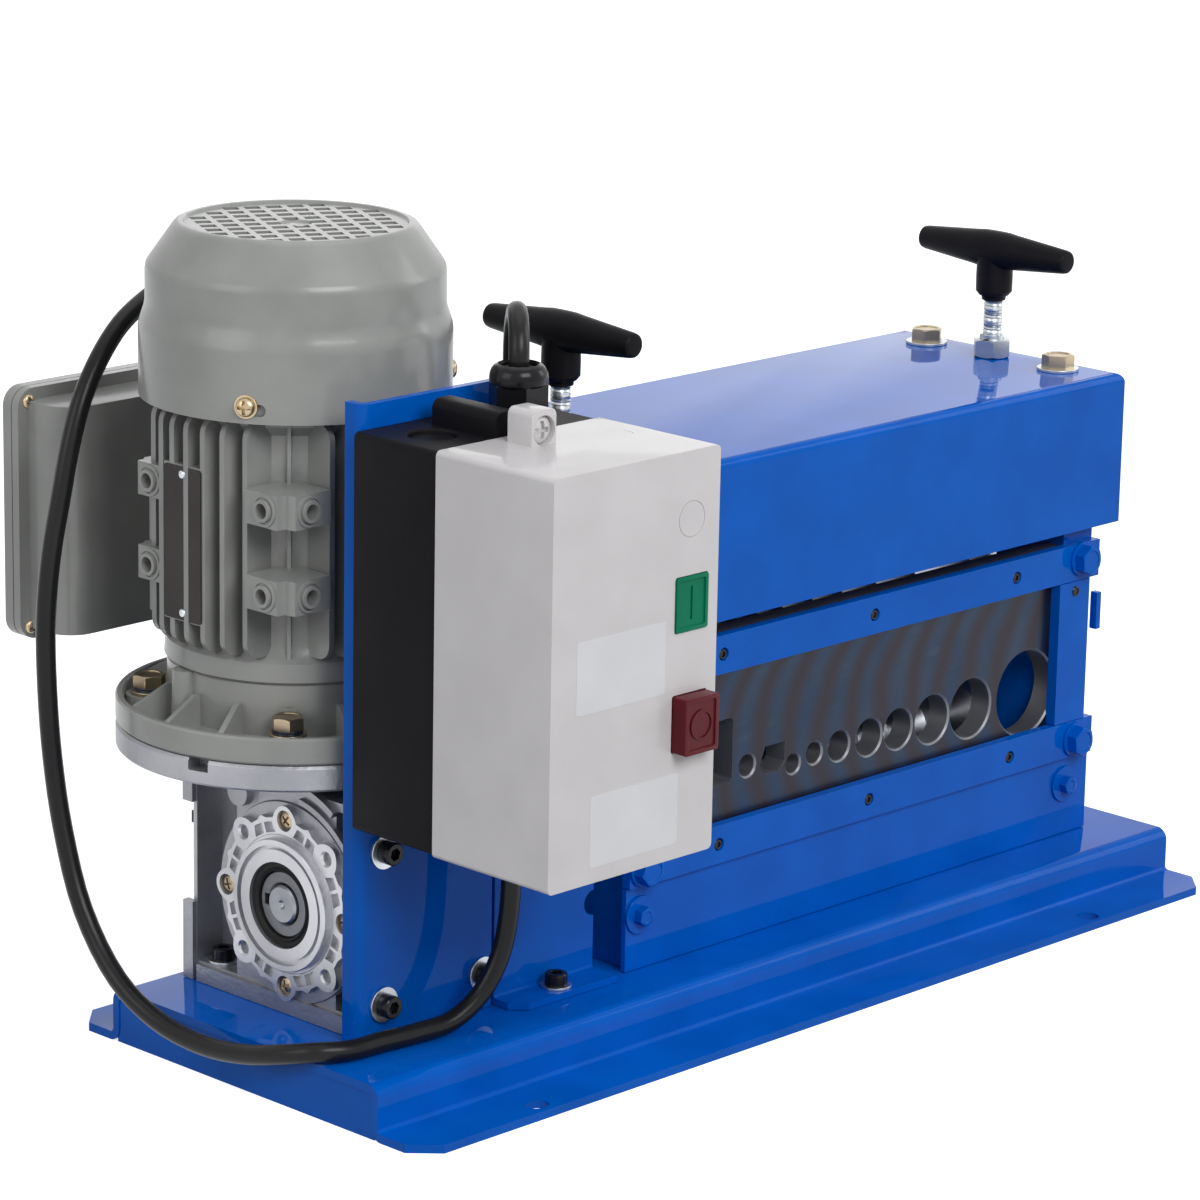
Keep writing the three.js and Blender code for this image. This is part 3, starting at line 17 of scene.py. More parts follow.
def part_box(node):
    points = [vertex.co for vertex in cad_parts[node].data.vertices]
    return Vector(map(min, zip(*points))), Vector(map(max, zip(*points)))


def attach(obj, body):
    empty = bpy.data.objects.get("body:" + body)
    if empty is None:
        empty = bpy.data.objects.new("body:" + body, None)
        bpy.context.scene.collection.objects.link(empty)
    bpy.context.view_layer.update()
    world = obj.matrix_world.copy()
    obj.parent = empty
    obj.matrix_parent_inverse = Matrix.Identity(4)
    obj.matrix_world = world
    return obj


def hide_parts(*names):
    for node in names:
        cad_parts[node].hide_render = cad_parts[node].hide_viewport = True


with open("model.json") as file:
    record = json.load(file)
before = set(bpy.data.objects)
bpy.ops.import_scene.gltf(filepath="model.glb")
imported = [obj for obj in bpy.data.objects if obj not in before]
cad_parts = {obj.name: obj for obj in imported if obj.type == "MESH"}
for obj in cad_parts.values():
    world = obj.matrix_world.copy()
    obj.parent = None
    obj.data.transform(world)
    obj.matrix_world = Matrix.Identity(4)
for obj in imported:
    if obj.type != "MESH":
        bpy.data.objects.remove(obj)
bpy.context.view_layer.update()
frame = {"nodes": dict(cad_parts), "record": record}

nodes = frame["nodes"]
print("CAD nodes:", len(nodes))

# %% [markdown]
# ## One corner to measure from
# The machine's drawing is measured in millimetres from the left front corner of its base pan, on the
# floor. The frame is in metres about the middle of the machine. Every piece is drawn in the drawing's
# millimetres, and one matrix takes it to its place, so the objects themselves never move.

# %% From drawing millimetres to the frame
MM = 0.001
PAN_CORNER = (267.0, 90.35)
TO_FRAME = Matrix.Scale(MM, 4) @ Matrix.Translation((-PAN_CORNER[0], -PAN_CORNER[1], 0.0))


def spot(x, y, z):
    """A place on the drawing, in millimetres, as a point of the frame."""
    return TO_FRAME @ Vector((x, y, z))


pan_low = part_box("base_pan")[0]
print("base pan starts at", tuple(round(v, 4) for v in pan_low))

# %% [markdown]
# ## The camera
# The photograph looks along the diagonal from the front left, a little from above, with a long lens.
# The camera could be placed by eye, but then every piece would seem slightly wrong. Here its place and
# its turn were solved from points that the photograph and the drawing share.

# %% Camera
CAMERA_PLACE = (-1334.6, -1420.1, 753.5)
CAMERA_TURN = 45.89
CAMERA_DROP = 14.745
CAMERA_ROLL = 1.068
LENS = 145.87

camera_data = bpy.data.cameras.new("camera")
camera_data.lens = LENS
camera_data.sensor_width = 36.0
camera_data.clip_start = 0.05
camera_data.clip_end = 50.0
camera = bpy.data.objects.new("camera", camera_data)
bpy.context.scene.collection.objects.link(camera)
turn, drop, roll = map(math.radians, (CAMERA_TURN, CAMERA_DROP, CAMERA_ROLL))
ahead = Vector((math.sin(turn) * math.cos(drop), math.cos(turn) * math.cos(drop), -math.sin(drop)))
level = Vector((math.cos(turn), -math.sin(turn), 0.0))
rightward = math.cos(roll) * level + math.sin(roll) * level.cross(ahead)
upward = rightward.cross(ahead)
camera.matrix_world = Matrix.Translation(spot(*CAMERA_PLACE)) @ Matrix(
    (rightward, upward, -ahead)
).transposed().to_4x4()
bpy.context.scene.camera = camera
print("camera at", tuple(round(v, 3) for v in camera.matrix_world.translation))

# %% [markdown]
# ## Floor, air and light
# The machine stands on a seamless white ground. A strong white lamp would wash the paint out, so the
# lamps stay plain, and only what the camera sees directly, or in a reflection, is turned to pure white.
# The floor keeps the machine's soft shadow because it is white only where no shadow falls.

# %% A short way to add a node and to say what feeds it
def node(tree, kind, feeds=None, **settings):
    """feeds gives each input by its name, or its number, either a constant or the socket that feeds it."""
    made = tree.nodes.new(kind)
    for key, value in settings.items():
        setattr(made, key, value)
    for key, value in (feeds or {}).items():
        if isinstance(value, bpy.types.NodeSocket):
            tree.links.new(value, made.inputs[key])
        else:
            made.inputs[key].default_value = value
    return made


def calculator(tree):
    """Gives a function that adds a Math node and returns its result."""
    def add(operation, *values):
        return node(tree, "ShaderNodeMath", dict(enumerate(values)), operation=operation).outputs[0]
    return add


# %% World
scene = bpy.context.scene
scene.view_settings.view_transform = "Standard"
world = bpy.data.worlds.new("studio_air")
scene.world = world
world.use_nodes = True
air = world.node_tree
air.nodes.clear()
work_out = calculator(air)
rays = node(air, "ShaderNodeLightPath").outputs
direct = work_out("MAXIMUM", rays["Is Camera Ray"], rays["Is Transmission Ray"])
direct = work_out("MAXIMUM", direct, rays["Is Glossy Ray"])
seen = node(air, "ShaderNodeBackground", {"Color": (1.0, 1.0, 1.0, 1.0), "Strength": 1.0})
felt = node(air, "ShaderNodeBackground", {"Color": (0.93, 0.96, 1.0, 1.0), "Strength": 0.34})
pick = node(air, "ShaderNodeMixShader", {0: direct, 1: felt.outputs[0], 2: seen.outputs[0]})
node(air, "ShaderNodeOutputWorld", {"Surface": pick.outputs[0]})
print("the air's nodes:", len(air.nodes))

# %% Lamps: broad at the front left, weaker at the right and above, low behind for the sheen on flat tops
AIM = spot(270, 90, 130)


def lamp(name, place, size, power, colour=(1.0, 1.0, 1.0)):
    data = bpy.data.lights.new(name, "AREA")
    data.shape = "RECTANGLE"
    data.size, data.size_y = size
    data.energy = power
    data.color = colour
    made = bpy.data.objects.new(name, data)
    scene.collection.objects.link(made)
    made.location = place
    made.rotation_mode = "QUATERNION"
    made.rotation_quaternion = (AIM - Vector(place)).to_track_quat("-Z", "Y")
    print("lamp", name, power, "W")
    return made


lamp("key_lamp", (-0.7, -2.3, 1.9), (1.6, 1.2), 50.0)
lamp("side_lamp", (-2.4, 0.2, 1.3), (1.4, 1.4), 13.0)
lamp("top_lamp", (0.3, 0.2, 2.6), (1.8, 1.8), 8.0)
lamp("right_lamp", (2.2, -1.2, 1.2), (0.9, 1.4), 12.0)
lamp("back_lamp", (2.0, 1.75, 0.84), (1.7, 0.7), 2.8)

# %% Floor
floor_mesh = bpy.data.meshes.new("floor")
FLOOR_HALF = 9.0
floor_mesh.from_pydata(
    [(x * FLOOR_HALF, y * FLOOR_HALF, 0.0) for x, y in ((-1, -1), (1, -1), (1, 1), (-1, 1))],
    [],
    [(0, 1, 2, 3)],
)
floor = bpy.data.objects.new("floor", floor_mesh)
scene.collection.objects.link(floor)
ground = bpy.data.materials.new("white_ground")
ground.use_nodes = True
tree = ground.node_tree
tree.nodes.clear()
matt = node(tree, "ShaderNodeBsdfDiffuse", {"Color": (0.8, 0.8, 0.8, 1.0)})
dim = node(tree, "ShaderNodeBsdfDiffuse", {"Color": (0.4, 0.4, 0.4, 1.0)})
glow = node(tree, "ShaderNodeEmission", {"Strength": 0.72})
both = node(tree, "ShaderNodeAddShader", {0: matt.outputs[0], 1: glow.outputs[0]})
rays = node(tree, "ShaderNodeLightPath").outputs
either = calculator(tree)("MAXIMUM", rays["Is Camera Ray"], rays["Is Glossy Ray"])
lit = node(tree, "ShaderNodeMixShader", {0: either, 1: dim.outputs[0], 2: both.outputs[0]})
node(tree, "ShaderNodeOutputMaterial", {"Surface": lit.outputs[0]})
floor_mesh.materials.append(ground)

# %% [markdown]
# ## Finishes
# Real surfaces are never one flat colour. Paint has a fine orange peel and a little dust, cast metal has
# a grain, and plastic has a spark-eroded texture. Each finish could be wired by hand, but they share the
# same few effects, so these are made once as node groups. All of them read Object coordinates, which stay
# with the piece from any side.

# %% A node group with named sockets
def effect(name, inputs, outputs):
    group = bpy.data.node_groups.new(name, "ShaderNodeTree")
    for label, kind, value in inputs:
        socket = group.interface.new_socket(label, in_out="INPUT", socket_type=kind)
        socket.default_value = value
    for label, kind in outputs:
        group.interface.new_socket(label, in_out="OUTPUT", socket_type=kind)
    return group, group.nodes.new("NodeGroupInput"), group.nodes.new("NodeGroupOutput")


# %% Mottled: a colour that drifts a little between two tones, with specks of dust
mottled, m_in, m_out = effect(
    "mottled",
    [
        ("Tone", "NodeSocketColor", (0.5, 0.5, 0.5, 1.0)),
        ("Second Tone", "NodeSocketColor", (0.4, 0.4, 0.4, 1.0)),
        ("Patch Scale", "NodeSocketFloat", 30.0),
        ("Grain Scale", "NodeSocketFloat", 900.0),
        ("Roughness", "NodeSocketFloat", 0.4),
        ("Roughness Drift", "NodeSocketFloat", 0.1),
    ],
    [("Color", "NodeSocketColor"), ("Roughness", "NodeSocketFloat"), ("Height", "NodeSocketFloat")],
)
place = node(mottled, "ShaderNodeTexCoord").outputs["Object"]
m_in = m_in.outputs
patches = node(mottled, "ShaderNodeTexNoise",
               {"Vector": place, "Scale": m_in["Patch Scale"], "Detail": 4.0})
grain = node(mottled, "ShaderNodeTexNoise", {"Vector": place, "Scale": m_in["Grain Scale"], "Detail": 2.0})
drift = node(mottled, "ShaderNodeMapRange",
             {"Value": patches.outputs["Fac"], "From Min": 0.35, "From Max": 0.65})
tones = {"Factor": drift.outputs["Result"], "A": m_in["Tone"], "B": m_in["Second Tone"]}
blend = node(mottled, "ShaderNodeMix", tones, data_type="RGBA")
work_out = calculator(mottled)
spread = work_out("SUBTRACT", grain.outputs["Fac"], 0.5)
mottled.links.new(blend.outputs["Result"], m_out.inputs["Color"])
mottled.links.new(work_out("MULTIPLY_ADD", spread, m_in["Roughness Drift"], m_in["Roughness"]),
                  m_out.inputs["Roughness"])
mottled.links.new(grain.outputs["Fac"], m_out.inputs["Height"])

# %% Scuffed: fine scratches and rubbed places, as a share from 0 to 1
scuffed, s_in, s_out = effect(
    "scuffed",
    [("Scratch Scale", "NodeSocketFloat", 60.0), ("Amount", "NodeSocketFloat", 0.3)],
    [("Share", "NodeSocketFloat")],
)
place = node(scuffed, "ShaderNodeTexCoord").outputs["Object"]
stretch = node(scuffed, "ShaderNodeMapping",
               {"Vector": place, "Scale": (1.0, 1.0, 7.0), "Rotation": (0.5, 0.3, 0.2)})
scratches = {"Vector": stretch.outputs[0], "Scale": s_in.outputs["Scratch Scale"], "Detail": 6.0,
             "Roughness": 0.7}
lines = node(scuffed, "ShaderNodeTexNoise", scratches)
where = node(scuffed, "ShaderNodeTexNoise", {"Vector": place, "Scale": 14.0})
keep = node(scuffed, "ShaderNodeMapRange",
            {"Value": lines.outputs["Fac"], "From Min": 0.56, "From Max": 0.72})
work_out = calculator(scuffed)
spread = work_out("MULTIPLY", keep.outputs["Result"], where.outputs["Fac"])
scuffed.links.new(work_out("MULTIPLY", spread, s_in.outputs["Amount"]), s_out.inputs["Share"])

# %% One recipe for a finish: mottled tone, scuffs, and a bump from the grain
finishes = {}


def finish(name, tone, second, rough, metal=0.0, coat=0.0, coat_rough=0.1, **detail):
    """A finish whose colour, roughness and bump come from the shared effects."""
    made = bpy.data.materials.new(name)
    made.use_nodes = True
    tree = made.node_tree
    base = node(tree, "ShaderNodeGroup", node_tree=mottled)
    for label, value in (
        ("Tone", (*tone, 1.0)), ("Second Tone", (*second, 1.0)), ("Patch Scale", detail.get("patch", 30.0)),
        ("Grain Scale", detail.get("grain", 900.0)), ("Roughness", rough),
    ):
        base.inputs[label].default_value = value
    rubbed = node(tree, "ShaderNodeGroup", node_tree=scuffed)
    rubbed.inputs["Scratch Scale"].default_value = detail.get("scratch", 60.0)
    rubbed.inputs["Amount"].default_value = detail.get("scuff", 0.2)
    worn = {"Factor": rubbed.outputs["Share"], "A": base.outputs["Color"],
            "B": (*detail.get("worn", second), 1.0)}
    wear = node(tree, "ShaderNodeMix", worn, data_type="RGBA")
    bumps = {"Height": base.outputs["Height"], "Strength": detail.get("bump", 0.15),
             "Distance": detail.get("depth", 0.0003)}
    bump = node(tree, "ShaderNodeBump", bumps)
    shader = tree.nodes["Principled BSDF"]
    for label, value in (
        ("Metallic", metal), ("Coat Weight", coat), ("Coat Roughness", coat_rough),
        ("Coat IOR", detail.get("coat_ior", 1.5)), ("Specular IOR Level", detail.get("shine", 0.5)),
    ):
        shader.inputs[label].default_value = value
    tree.links.new(wear.outputs["Result"], shader.inputs["Base Color"])
    tree.links.new(base.outputs["Roughness"], shader.inputs["Roughness"])
    tree.links.new(bump.outputs["Normal"], shader.inputs["Normal"])
    finishes[name] = made
    return made


# %% Paints
finish("blue_gloss_paint", (0.0, 0.112, 0.55), (0.0, 0.096, 0.48), 0.5, coat=1.0, coat_rough=0.035,
       coat_ior=1.15, shine=0.0, grain=260, bump=0.02, scuff=0.06, worn=(0.0, 0.13, 0.58))
finish("grey_motor_paint", (0.30, 0.305, 0.292), (0.255, 0.26, 0.248), 0.34, coat=0.3,
       coat_rough=0.16, shine=0.3, grain=320, bump=0.10, scuff=0.10, worn=(0.36, 0.36, 0.35))

# %% Bare metals
finish("cast_aluminium", (0.36, 0.365, 0.39), (0.28, 0.285, 0.31), 0.42, metal=0.75,
       grain=520, bump=0.4, depth=0.0005, scuff=0.5, worn=(0.20, 0.21, 0.23))
finish("bright_aluminium", (0.58, 0.585, 0.61), (0.48, 0.485, 0.51), 0.34, metal=0.85,
       grain=520, bump=0.25, depth=0.0004, scuff=0.4, worn=(0.36, 0.37, 0.39))
finish("machined_steel", (0.34, 0.355, 0.38), (0.26, 0.27, 0.30), 0.3, metal=0.95,
       bump=0.08, scuff=0.5, worn=(0.5, 0.5, 0.52))
finish("dark_steel", (0.09, 0.105, 0.13), (0.055, 0.07, 0.10), 0.33, metal=0.9, grain=700,
       bump=0.08, scuff=0.6, worn=(0.22, 0.24, 0.28))
finish("bright_zinc", (0.60, 0.63, 0.66), (0.50, 0.53, 0.56), 0.32, metal=1.0, grain=700,
       bump=0.05, scuff=0.3, worn=(0.44, 0.45, 0.46))
finish("bored_steel", (0.20, 0.21, 0.225), (0.15, 0.155, 0.17), 0.48, metal=0.75,
       bump=0.2, scuff=0.8, scratch=140, worn=(0.28, 0.29, 0.31))
finish("yellow_zinc", (0.50, 0.40, 0.26), (0.36, 0.29, 0.21), 0.32, metal=1.0, grain=700,
       bump=0.05, scuff=0.4, worn=(0.34, 0.30, 0.22))
finish("blade_steel", (0.42, 0.44, 0.48), (0.32, 0.34, 0.38), 0.2, metal=1.0,
       bump=0.04, scuff=0.4, worn=(0.2, 0.21, 0.24))

# %% Plastics and rubber
finish("black_moulded", (0.008, 0.0075, 0.0095), (0.011, 0.0105, 0.013), 0.4, shine=0.05, grain=1400,
       bump=0.1, worn=(0.02, 0.02, 0.022))
finish("black_gloss", (0.007, 0.007, 0.009), (0.01, 0.01, 0.012), 0.2, shine=0.2, grain=500, bump=0.03,
       scuff=0.15, worn=(0.02, 0.02, 0.022))
finish("light_moulded", (0.62, 0.60, 0.605), (0.58, 0.56, 0.565), 0.36, coat=0.5, coat_rough=0.05,
       coat_ior=1.35, shine=0.2, grain=1200, bump=0.05, scuff=0.08, worn=(0.5, 0.48, 0.47))
finish("green_moulded", (0.0, 0.17, 0.085), (0.0, 0.14, 0.07), 0.36, shine=0.1, grain=1200, bump=0.05)
finish("red_moulded", (0.115, 0.008, 0.014), (0.085, 0.006, 0.01), 0.3, shine=0.15, grain=1200, bump=0.05)
finish("cord_jacket", (0.009, 0.009, 0.01), (0.013, 0.013, 0.014), 0.3, shine=0.2, bump=0.06)
finish("seal_rubber", (0.012, 0.012, 0.013), (0.018, 0.018, 0.018), 0.5, shine=0.15, bump=0.1)
finish("bronze_metal", (0.42, 0.24, 0.08), (0.34, 0.19, 0.06), 0.35, metal=1.0, grain=700)
finish("copper_winding", (0.25, 0.09, 0.04), (0.18, 0.06, 0.03), 0.4, metal=0.6, grain=300, bump=0.5)
finish("blank_plate", (0.022, 0.019, 0.018), (0.034, 0.03, 0.028), 0.34, metal=0.2, shine=0.2, grain=500)
finish("blank_label", (0.66, 0.66, 0.68), (0.62, 0.62, 0.64), 0.3, bump=0.02)
finish("gasket", (0.03, 0.03, 0.03), (0.04, 0.04, 0.04), 0.6, grain=700)
print("finishes:", len(finishes))

# %% [markdown]
# ## A finish for every CAD node
# Most CAD nodes get a finer piece of their own below. What stays visible from the CAD model takes its
# finish from its record's slot, so that nothing on the machine is left in a flat colour.

# %% Finish the nodes
SLOT_FINISH = {
    "blue_paint": "blue_gloss_paint",
    "grey_paint": "grey_motor_paint",
    "cast_aluminium": "cast_aluminium",
    "machined_steel": "machined_steel",
    "blade_steel": "blade_steel",
    "zinc_plate": "bright_zinc",
    "bronze": "bronze_metal",
    "winding": "copper_winding",
    "black_plastic": "black_moulded",
    "light_plastic": "light_moulded",
    "green_plastic": "green_moulded",
    "red_plastic": "red_moulded",
    "cord_jacket": "cord_jacket",
}
slots_of_nodes = {row["node"]: row["material_slot"] for row in frame["record"]["subparts"]}
for name, cad_piece in nodes.items():
    for place in cad_piece.material_slots:
        place.material = finishes[SLOT_FINISH[slots_of_nodes[name]]]
print("nodes with a finish:", len(slots_of_nodes))

# %% [markdown]
# ## The two free cords
# A motor lead hangs from the terminal box to the starter, and a mains lead leaves the starter, bends over
# the bracket and ends in a plug behind the machine. A cord could be a swept mesh, but a curve keeps its
# real length, bends smoothly and stays easy to check. Its points repeat the route of the CAD model.

# %% The routes, in drawing millimetres
CORD_RADIUS = 4.5
CORD_GAP = 0.3
motor_lead_route = [
    (91, 226.3, 298.3),
    (91, 226.3, 307),
    (88, 224.6, 319),
    (80, 221.8, 326),
    (68, 219, 328),
    (54, 216, 324),
    (39, 212.5, 317),
    (24, 208.5, 305),
    (12, 206, 289),
    (4, 204.7, 270),
    (-2, 204.7, 246),
    (-7, 205.8, 220),
    (-10.5, 205.5, 192),
    (-13, 202, 160),
    (-14.5, 197, 130),
    (-15.5, 189, 99),
    (-16, 175, 65),
    (-15.5, 152, 38),
    (-14, 127, 25),
    (-12, 100, 20.5),
    (-10, 74, 22.5),
    (-7, 52, 27.6),
    (-1, 38.5, 30.6),
    (11, 31.5, 30.4),
    (30, 30, 30.1),
    (50, 28, 30.1),
    (68, 25, 32),
    (82, 21.5, 42),
    (91, 19, 58),
    (95, 17.7, 78),
    (96, 17.4, 105.2),
]
mains_lead_route = [
    (96, 17.4, 320.8),
    (96, 17.4, 328),
    (98.6, 20.2, 335.5),
    (103.6, 25.8, 340.5),
    (109.8, 32.8, 341.8),
    (116.4, 40.2, 338.6),
    (122.3, 47.1, 330.5),
    (126.5, 51.8, 318),
    (129.5, 54.3, 302),
    (133, 56.3, 280),
    (138, 57.6, 252),
    (143, 58, 220),
    (147, 58, 185),
    (149.5, 58, 148),
    (150, 58, 112),
    (150, 58.5, 78),
    (150, 63, 55),
    (150, 75, 38.5),
    (150, 94, 31.5),
    (150, 120, 30.3),
    (151, 144, 30.4),
    (154, 168, 31),
    (159, 187, 26),
    (167, 203, 17),
    (181, 217, 9),
    (203, 225, 5.6),
    (230, 227.5, 4.8),
    (262, 226, 4.8),
    (290, 224, 4.8),
]
# The coil repeats the CAD model's rule: in along the floor, up a layer in half a turn, and out again.
COIL_MIDDLE = (318, 282)
COIL_RADIUS = 58
COIL_PITCH = 9.7
COIL_TURNS_EACH = 1.5
COIL_TUCK = 0.3
COIL_TAIL = 42
STEPS_PER_TURN = 24


def coil_route():
    route = []
    climb = 0.5
    turns = 2 * COIL_TURNS_EACH + climb
    steps = round(turns * STEPS_PER_TURN)
    for i in range(steps + 1):
        turn = i * turns / steps
        before = max(0.0, COIL_TURNS_EACH - turn)
        after = max(0.0, turn - COIL_TURNS_EACH - climb)
        share = min(1.0, max(0.0, (turn - COIL_TURNS_EACH) / climb))
        tuck = COIL_TUCK * COIL_PITCH * math.sin(math.pi * share)
        least = COIL_RADIUS - COIL_PITCH * COIL_TURNS_EACH
        radius = least + COIL_PITCH * (before + after) - tuck
        angle = 2 * math.pi * turn - math.pi / 2
        rise = COIL_PITCH * (share - math.sin(2 * math.pi * share) / (2 * math.pi))
        x, y = COIL_MIDDLE[0] + radius * math.cos(angle), COIL_MIDDLE[1] + radius * math.sin(angle)
        route.append((x, y, CORD_RADIUS + CORD_GAP + rise))
    return route


turns_of_coil = coil_route()
last_way = Vector(turns_of_coil[-1]) - Vector(turns_of_coil[-2])
tail_way = Vector((last_way.x, last_way.y, 0.0)).normalized()
coil_tail = [Vector(turns_of_coil[-1]) + tail_way * COIL_TAIL * k / 3 for k in (1, 2, 3)]
mains_route = mains_lead_route + turns_of_coil + [tuple(p) for p in coil_tail]
print("route points:", len(motor_lead_route), "and", len(mains_route))


# %% One smooth curve through the points
def route_length(points):
    return sum((Vector(a) - Vector(b)).length for a, b in zip(points, points[1:]))


def catmull(points, steps):
    """Points spaced along a smooth curve that goes through every point given."""
    ghost = [2 * Vector(points[0]) - Vector(points[1])]
    ghost += [Vector(p) for p in points]
    ghost += [2 * Vector(points[-1]) - Vector(points[-2])]
    run = []
    for a, b, c, d in zip(ghost, ghost[1:], ghost[2:], ghost[3:]):
        t0 = 0.0
        t1 = t0 + (b - a).length ** 0.5
        t2 = t1 + (c - b).length ** 0.5
        t3 = t2 + (d - c).length ** 0.5
        for k in range(steps):
            t = t1 + (t2 - t1) * k / steps
            low = a.lerp(b, (t - t0) / (t1 - t0))
            middle = b.lerp(c, (t - t1) / (t2 - t1))
            high = c.lerp(d, (t - t2) / (t3 - t2))
            first = low.lerp(middle, (t - t0) / (t2 - t0))
            second = middle.lerp(high, (t - t1) / (t3 - t1))
            run.append(first.lerp(second, (t - t1) / (t2 - t1)))
    run.append(Vector(points[-1]))
    return run


def cord_piece(name, points, radius):
    """A round cord as one open curve, with its place in its points."""
    run = catmull(points, 4)
    curve = bpy.data.curves.new(name, "CURVE")
    curve.dimensions = "3D"
    curve.bevel_depth = radius * MM
    curve.bevel_resolution = 6
    curve.use_fill_caps = True
    spline = curve.splines.new("POLY")
    spline.points.add(len(run) - 1)
    for place, point in zip(spline.points, run):
        place.co = (*spot(*point), 1.0)
    made = bpy.data.objects.new(name, curve)
    scene.collection.objects.link(made)
    curve.materials.append(finishes["cord_jacket"])
    print(name, "is", round(route_length(run)), "mm long")
    return made, route_length(run) * MM


motor_cord, motor_cord_length = cord_piece("motor_lead_cord", motor_lead_route, CORD_RADIUS)
mains_cord, mains_cord_length = cord_piece("mains_lead_cord", mains_route, CORD_RADIUS)
for made, replaced in ((motor_cord, ("motor_lead",)), (mains_cord, ("mains_lead", "mains_coil"))):
    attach(made, "machine")
    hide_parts(*replaced)

# %% [markdown]
# ## Drafting tools
# Most of the machine is plate, turned metal and castings. Each could be modelled from primitives and
# moved into place, but a drawn outline that is pushed or turned gives exact sizes in a few lines. A draft
# gathers such faces in drawing millimetres, and the bevel that real edges have is added at the end.

# %% A draft of faces
AXIS_PLACES = {
    "x": lambda a, u, v: (a, u, v),
    "y": lambda a, u, v: (u, a, v),
    "z": lambda a, u, v: (u, v, a),
}


def around(centre, radius, angle):
    """The point at a radius and an angle about a centre."""
    return centre[0] + radius * math.cos(angle), centre[1] + radius * math.sin(angle)


class Draft:
    """Closed shells gathered in drawing millimetres."""

    def __init__(self):
        self.bm = bmesh.new()

    def shell(self, points, faces):
        made = [self.bm.verts.new(p) for p in points]
        for face in faces:
            self.bm.faces.new([made[i] for i in face])
        return self

    def block(self, xs, ys, zs):
        corners = [(x, y, z) for x in xs for y in ys for z in zs]
        sides = [(0, 1, 3, 2), (4, 6, 7, 5), (0, 4, 5, 1), (2, 3, 7, 6), (0, 2, 6, 4), (1, 5, 7, 3)]
        return self.shell(corners, sides)

    def prism(self, outline, axis, span, holes=()):
        """An outline with holes, pushed along an axis: (y, z) along x, (x, z) along y, (x, y) along z."""
        loops = [list(outline)] + [list(hole) for hole in holes]
        flat = [point for loop in loops for point in loop]
        place = AXIS_PLACES[axis]
        count = len(flat)
        points = [place(end, *point) for end in span for point in flat]
        fill = tessellate_polygon([[Vector((u, v, 0.0)) for u, v in loop] for loop in loops])
        faces = [tuple(t) for t in fill] + [tuple(i + count for i in reversed(t)) for t in fill]
        start = 0
        for loop in loops:
            for i in range(len(loop)):
                a, b = start + i, start + (i + 1) % len(loop)
                faces.append((a, b, b + count, a + count))
            start += len(loop)
        return self.shell(points, faces)

    def turned(self, section, axis="z", centre=(0, 0), sides=96):
        """A closed half section of (radius, place along the axis), turned about the axis."""
        place = AXIS_PLACES[axis]
        points, rows = [], []
        for radius, along in section:
            if radius < 1e-6:
                rows.append([len(points)] * sides)
                points.append(place(along, *centre))
                continue
            rows.append(list(range(len(points), len(points) + sides)))
            points += [place(along, *around(centre, radius, 2 * math.pi * k / sides)) for k in range(sides)]
        faces = []
        for first, second in zip(rows, rows[1:] + rows[:1]):
            for k in range(sides):
                n = (k + 1) % sides
                ring = []
                for index in (first[k], first[n], second[n], second[k]):
                    if index not in ring:
                        ring.append(index)
                if len(ring) > 2:
                    faces.append(tuple(ring))
        return self.shell(points, faces)

    def mesh(self):
        bmesh.ops.remove_doubles(self.bm, verts=self.bm.verts, dist=1e-4)
        bmesh.ops.recalc_face_normals(self.bm, faces=self.bm.faces)
        made = bpy.data.meshes.new("draft")
        self.bm.to_mesh(made)
        self.bm.free()
        return made


def at_once(form):
    """The same form as a mesh of its own, for a draft that has only one."""
    return lambda *given, **more: form(Draft(), *given, **more).mesh()


boxed, pushed, lathed = at_once(Draft.block), at_once(Draft.prism), at_once(Draft.turned)


# %% Outlines and half sections
def arc(centre, radius, start, end, steps=10):
    """Points on an arc, in degrees, both ends included."""
    return [around(centre, radius, math.radians(start + (end - start) * k / steps))
            for k in range(steps + 1)]


def circle(centre, radius, steps=32):
    return arc(centre, radius, 0, 360 - 360 / steps, steps - 1)


def rounded(us, vs, radius, steps=8):
    """A rectangle with rounded corners."""
    (u0, u1), (v0, v1) = us, vs
    r = radius
    return (
        arc((u1 - r, v0 + r), r, -90, 0, steps)
        + arc((u1 - r, v1 - r), r, 0, 90, steps)
        + arc((u0 + r, v1 - r), r, 90, 180, steps)
        + arc((u0 + r, v0 + r), r, 180, 270, steps)
    )


def rod(radius, low, high, end=None):
    """The half section of a plain rod, or of a cone if its end has another radius."""
    return [(0, low), (radius, low), (radius if end is None else end, high), (0, high)]


def from_base(base, section):
    """A half section whose places are measured from a base."""
    return [(radius, base + along) for radius, along in section]


# %% Joining and carving, on hidden helpers that are thrown away
def shaped(mesh, kind, **settings):
    """Runs one modifier on a mesh, on a helper object that is thrown away."""
    helper = bpy.data.objects.new("helper", mesh)
    scene.collection.objects.link(helper)
    step = helper.modifiers.new("step", kind)
    keys = settings.pop("keys", {})
    for key, value in settings.items():
        setattr(step, key, value)
    for key, value in keys.items():
        step[key] = value
    bpy.context.view_layer.update()
    made = bpy.data.meshes.new_from_object(helper.evaluated_get(bpy.context.evaluated_depsgraph_get()))
    bpy.data.objects.remove(helper)
    bpy.data.meshes.remove(mesh)
    return made


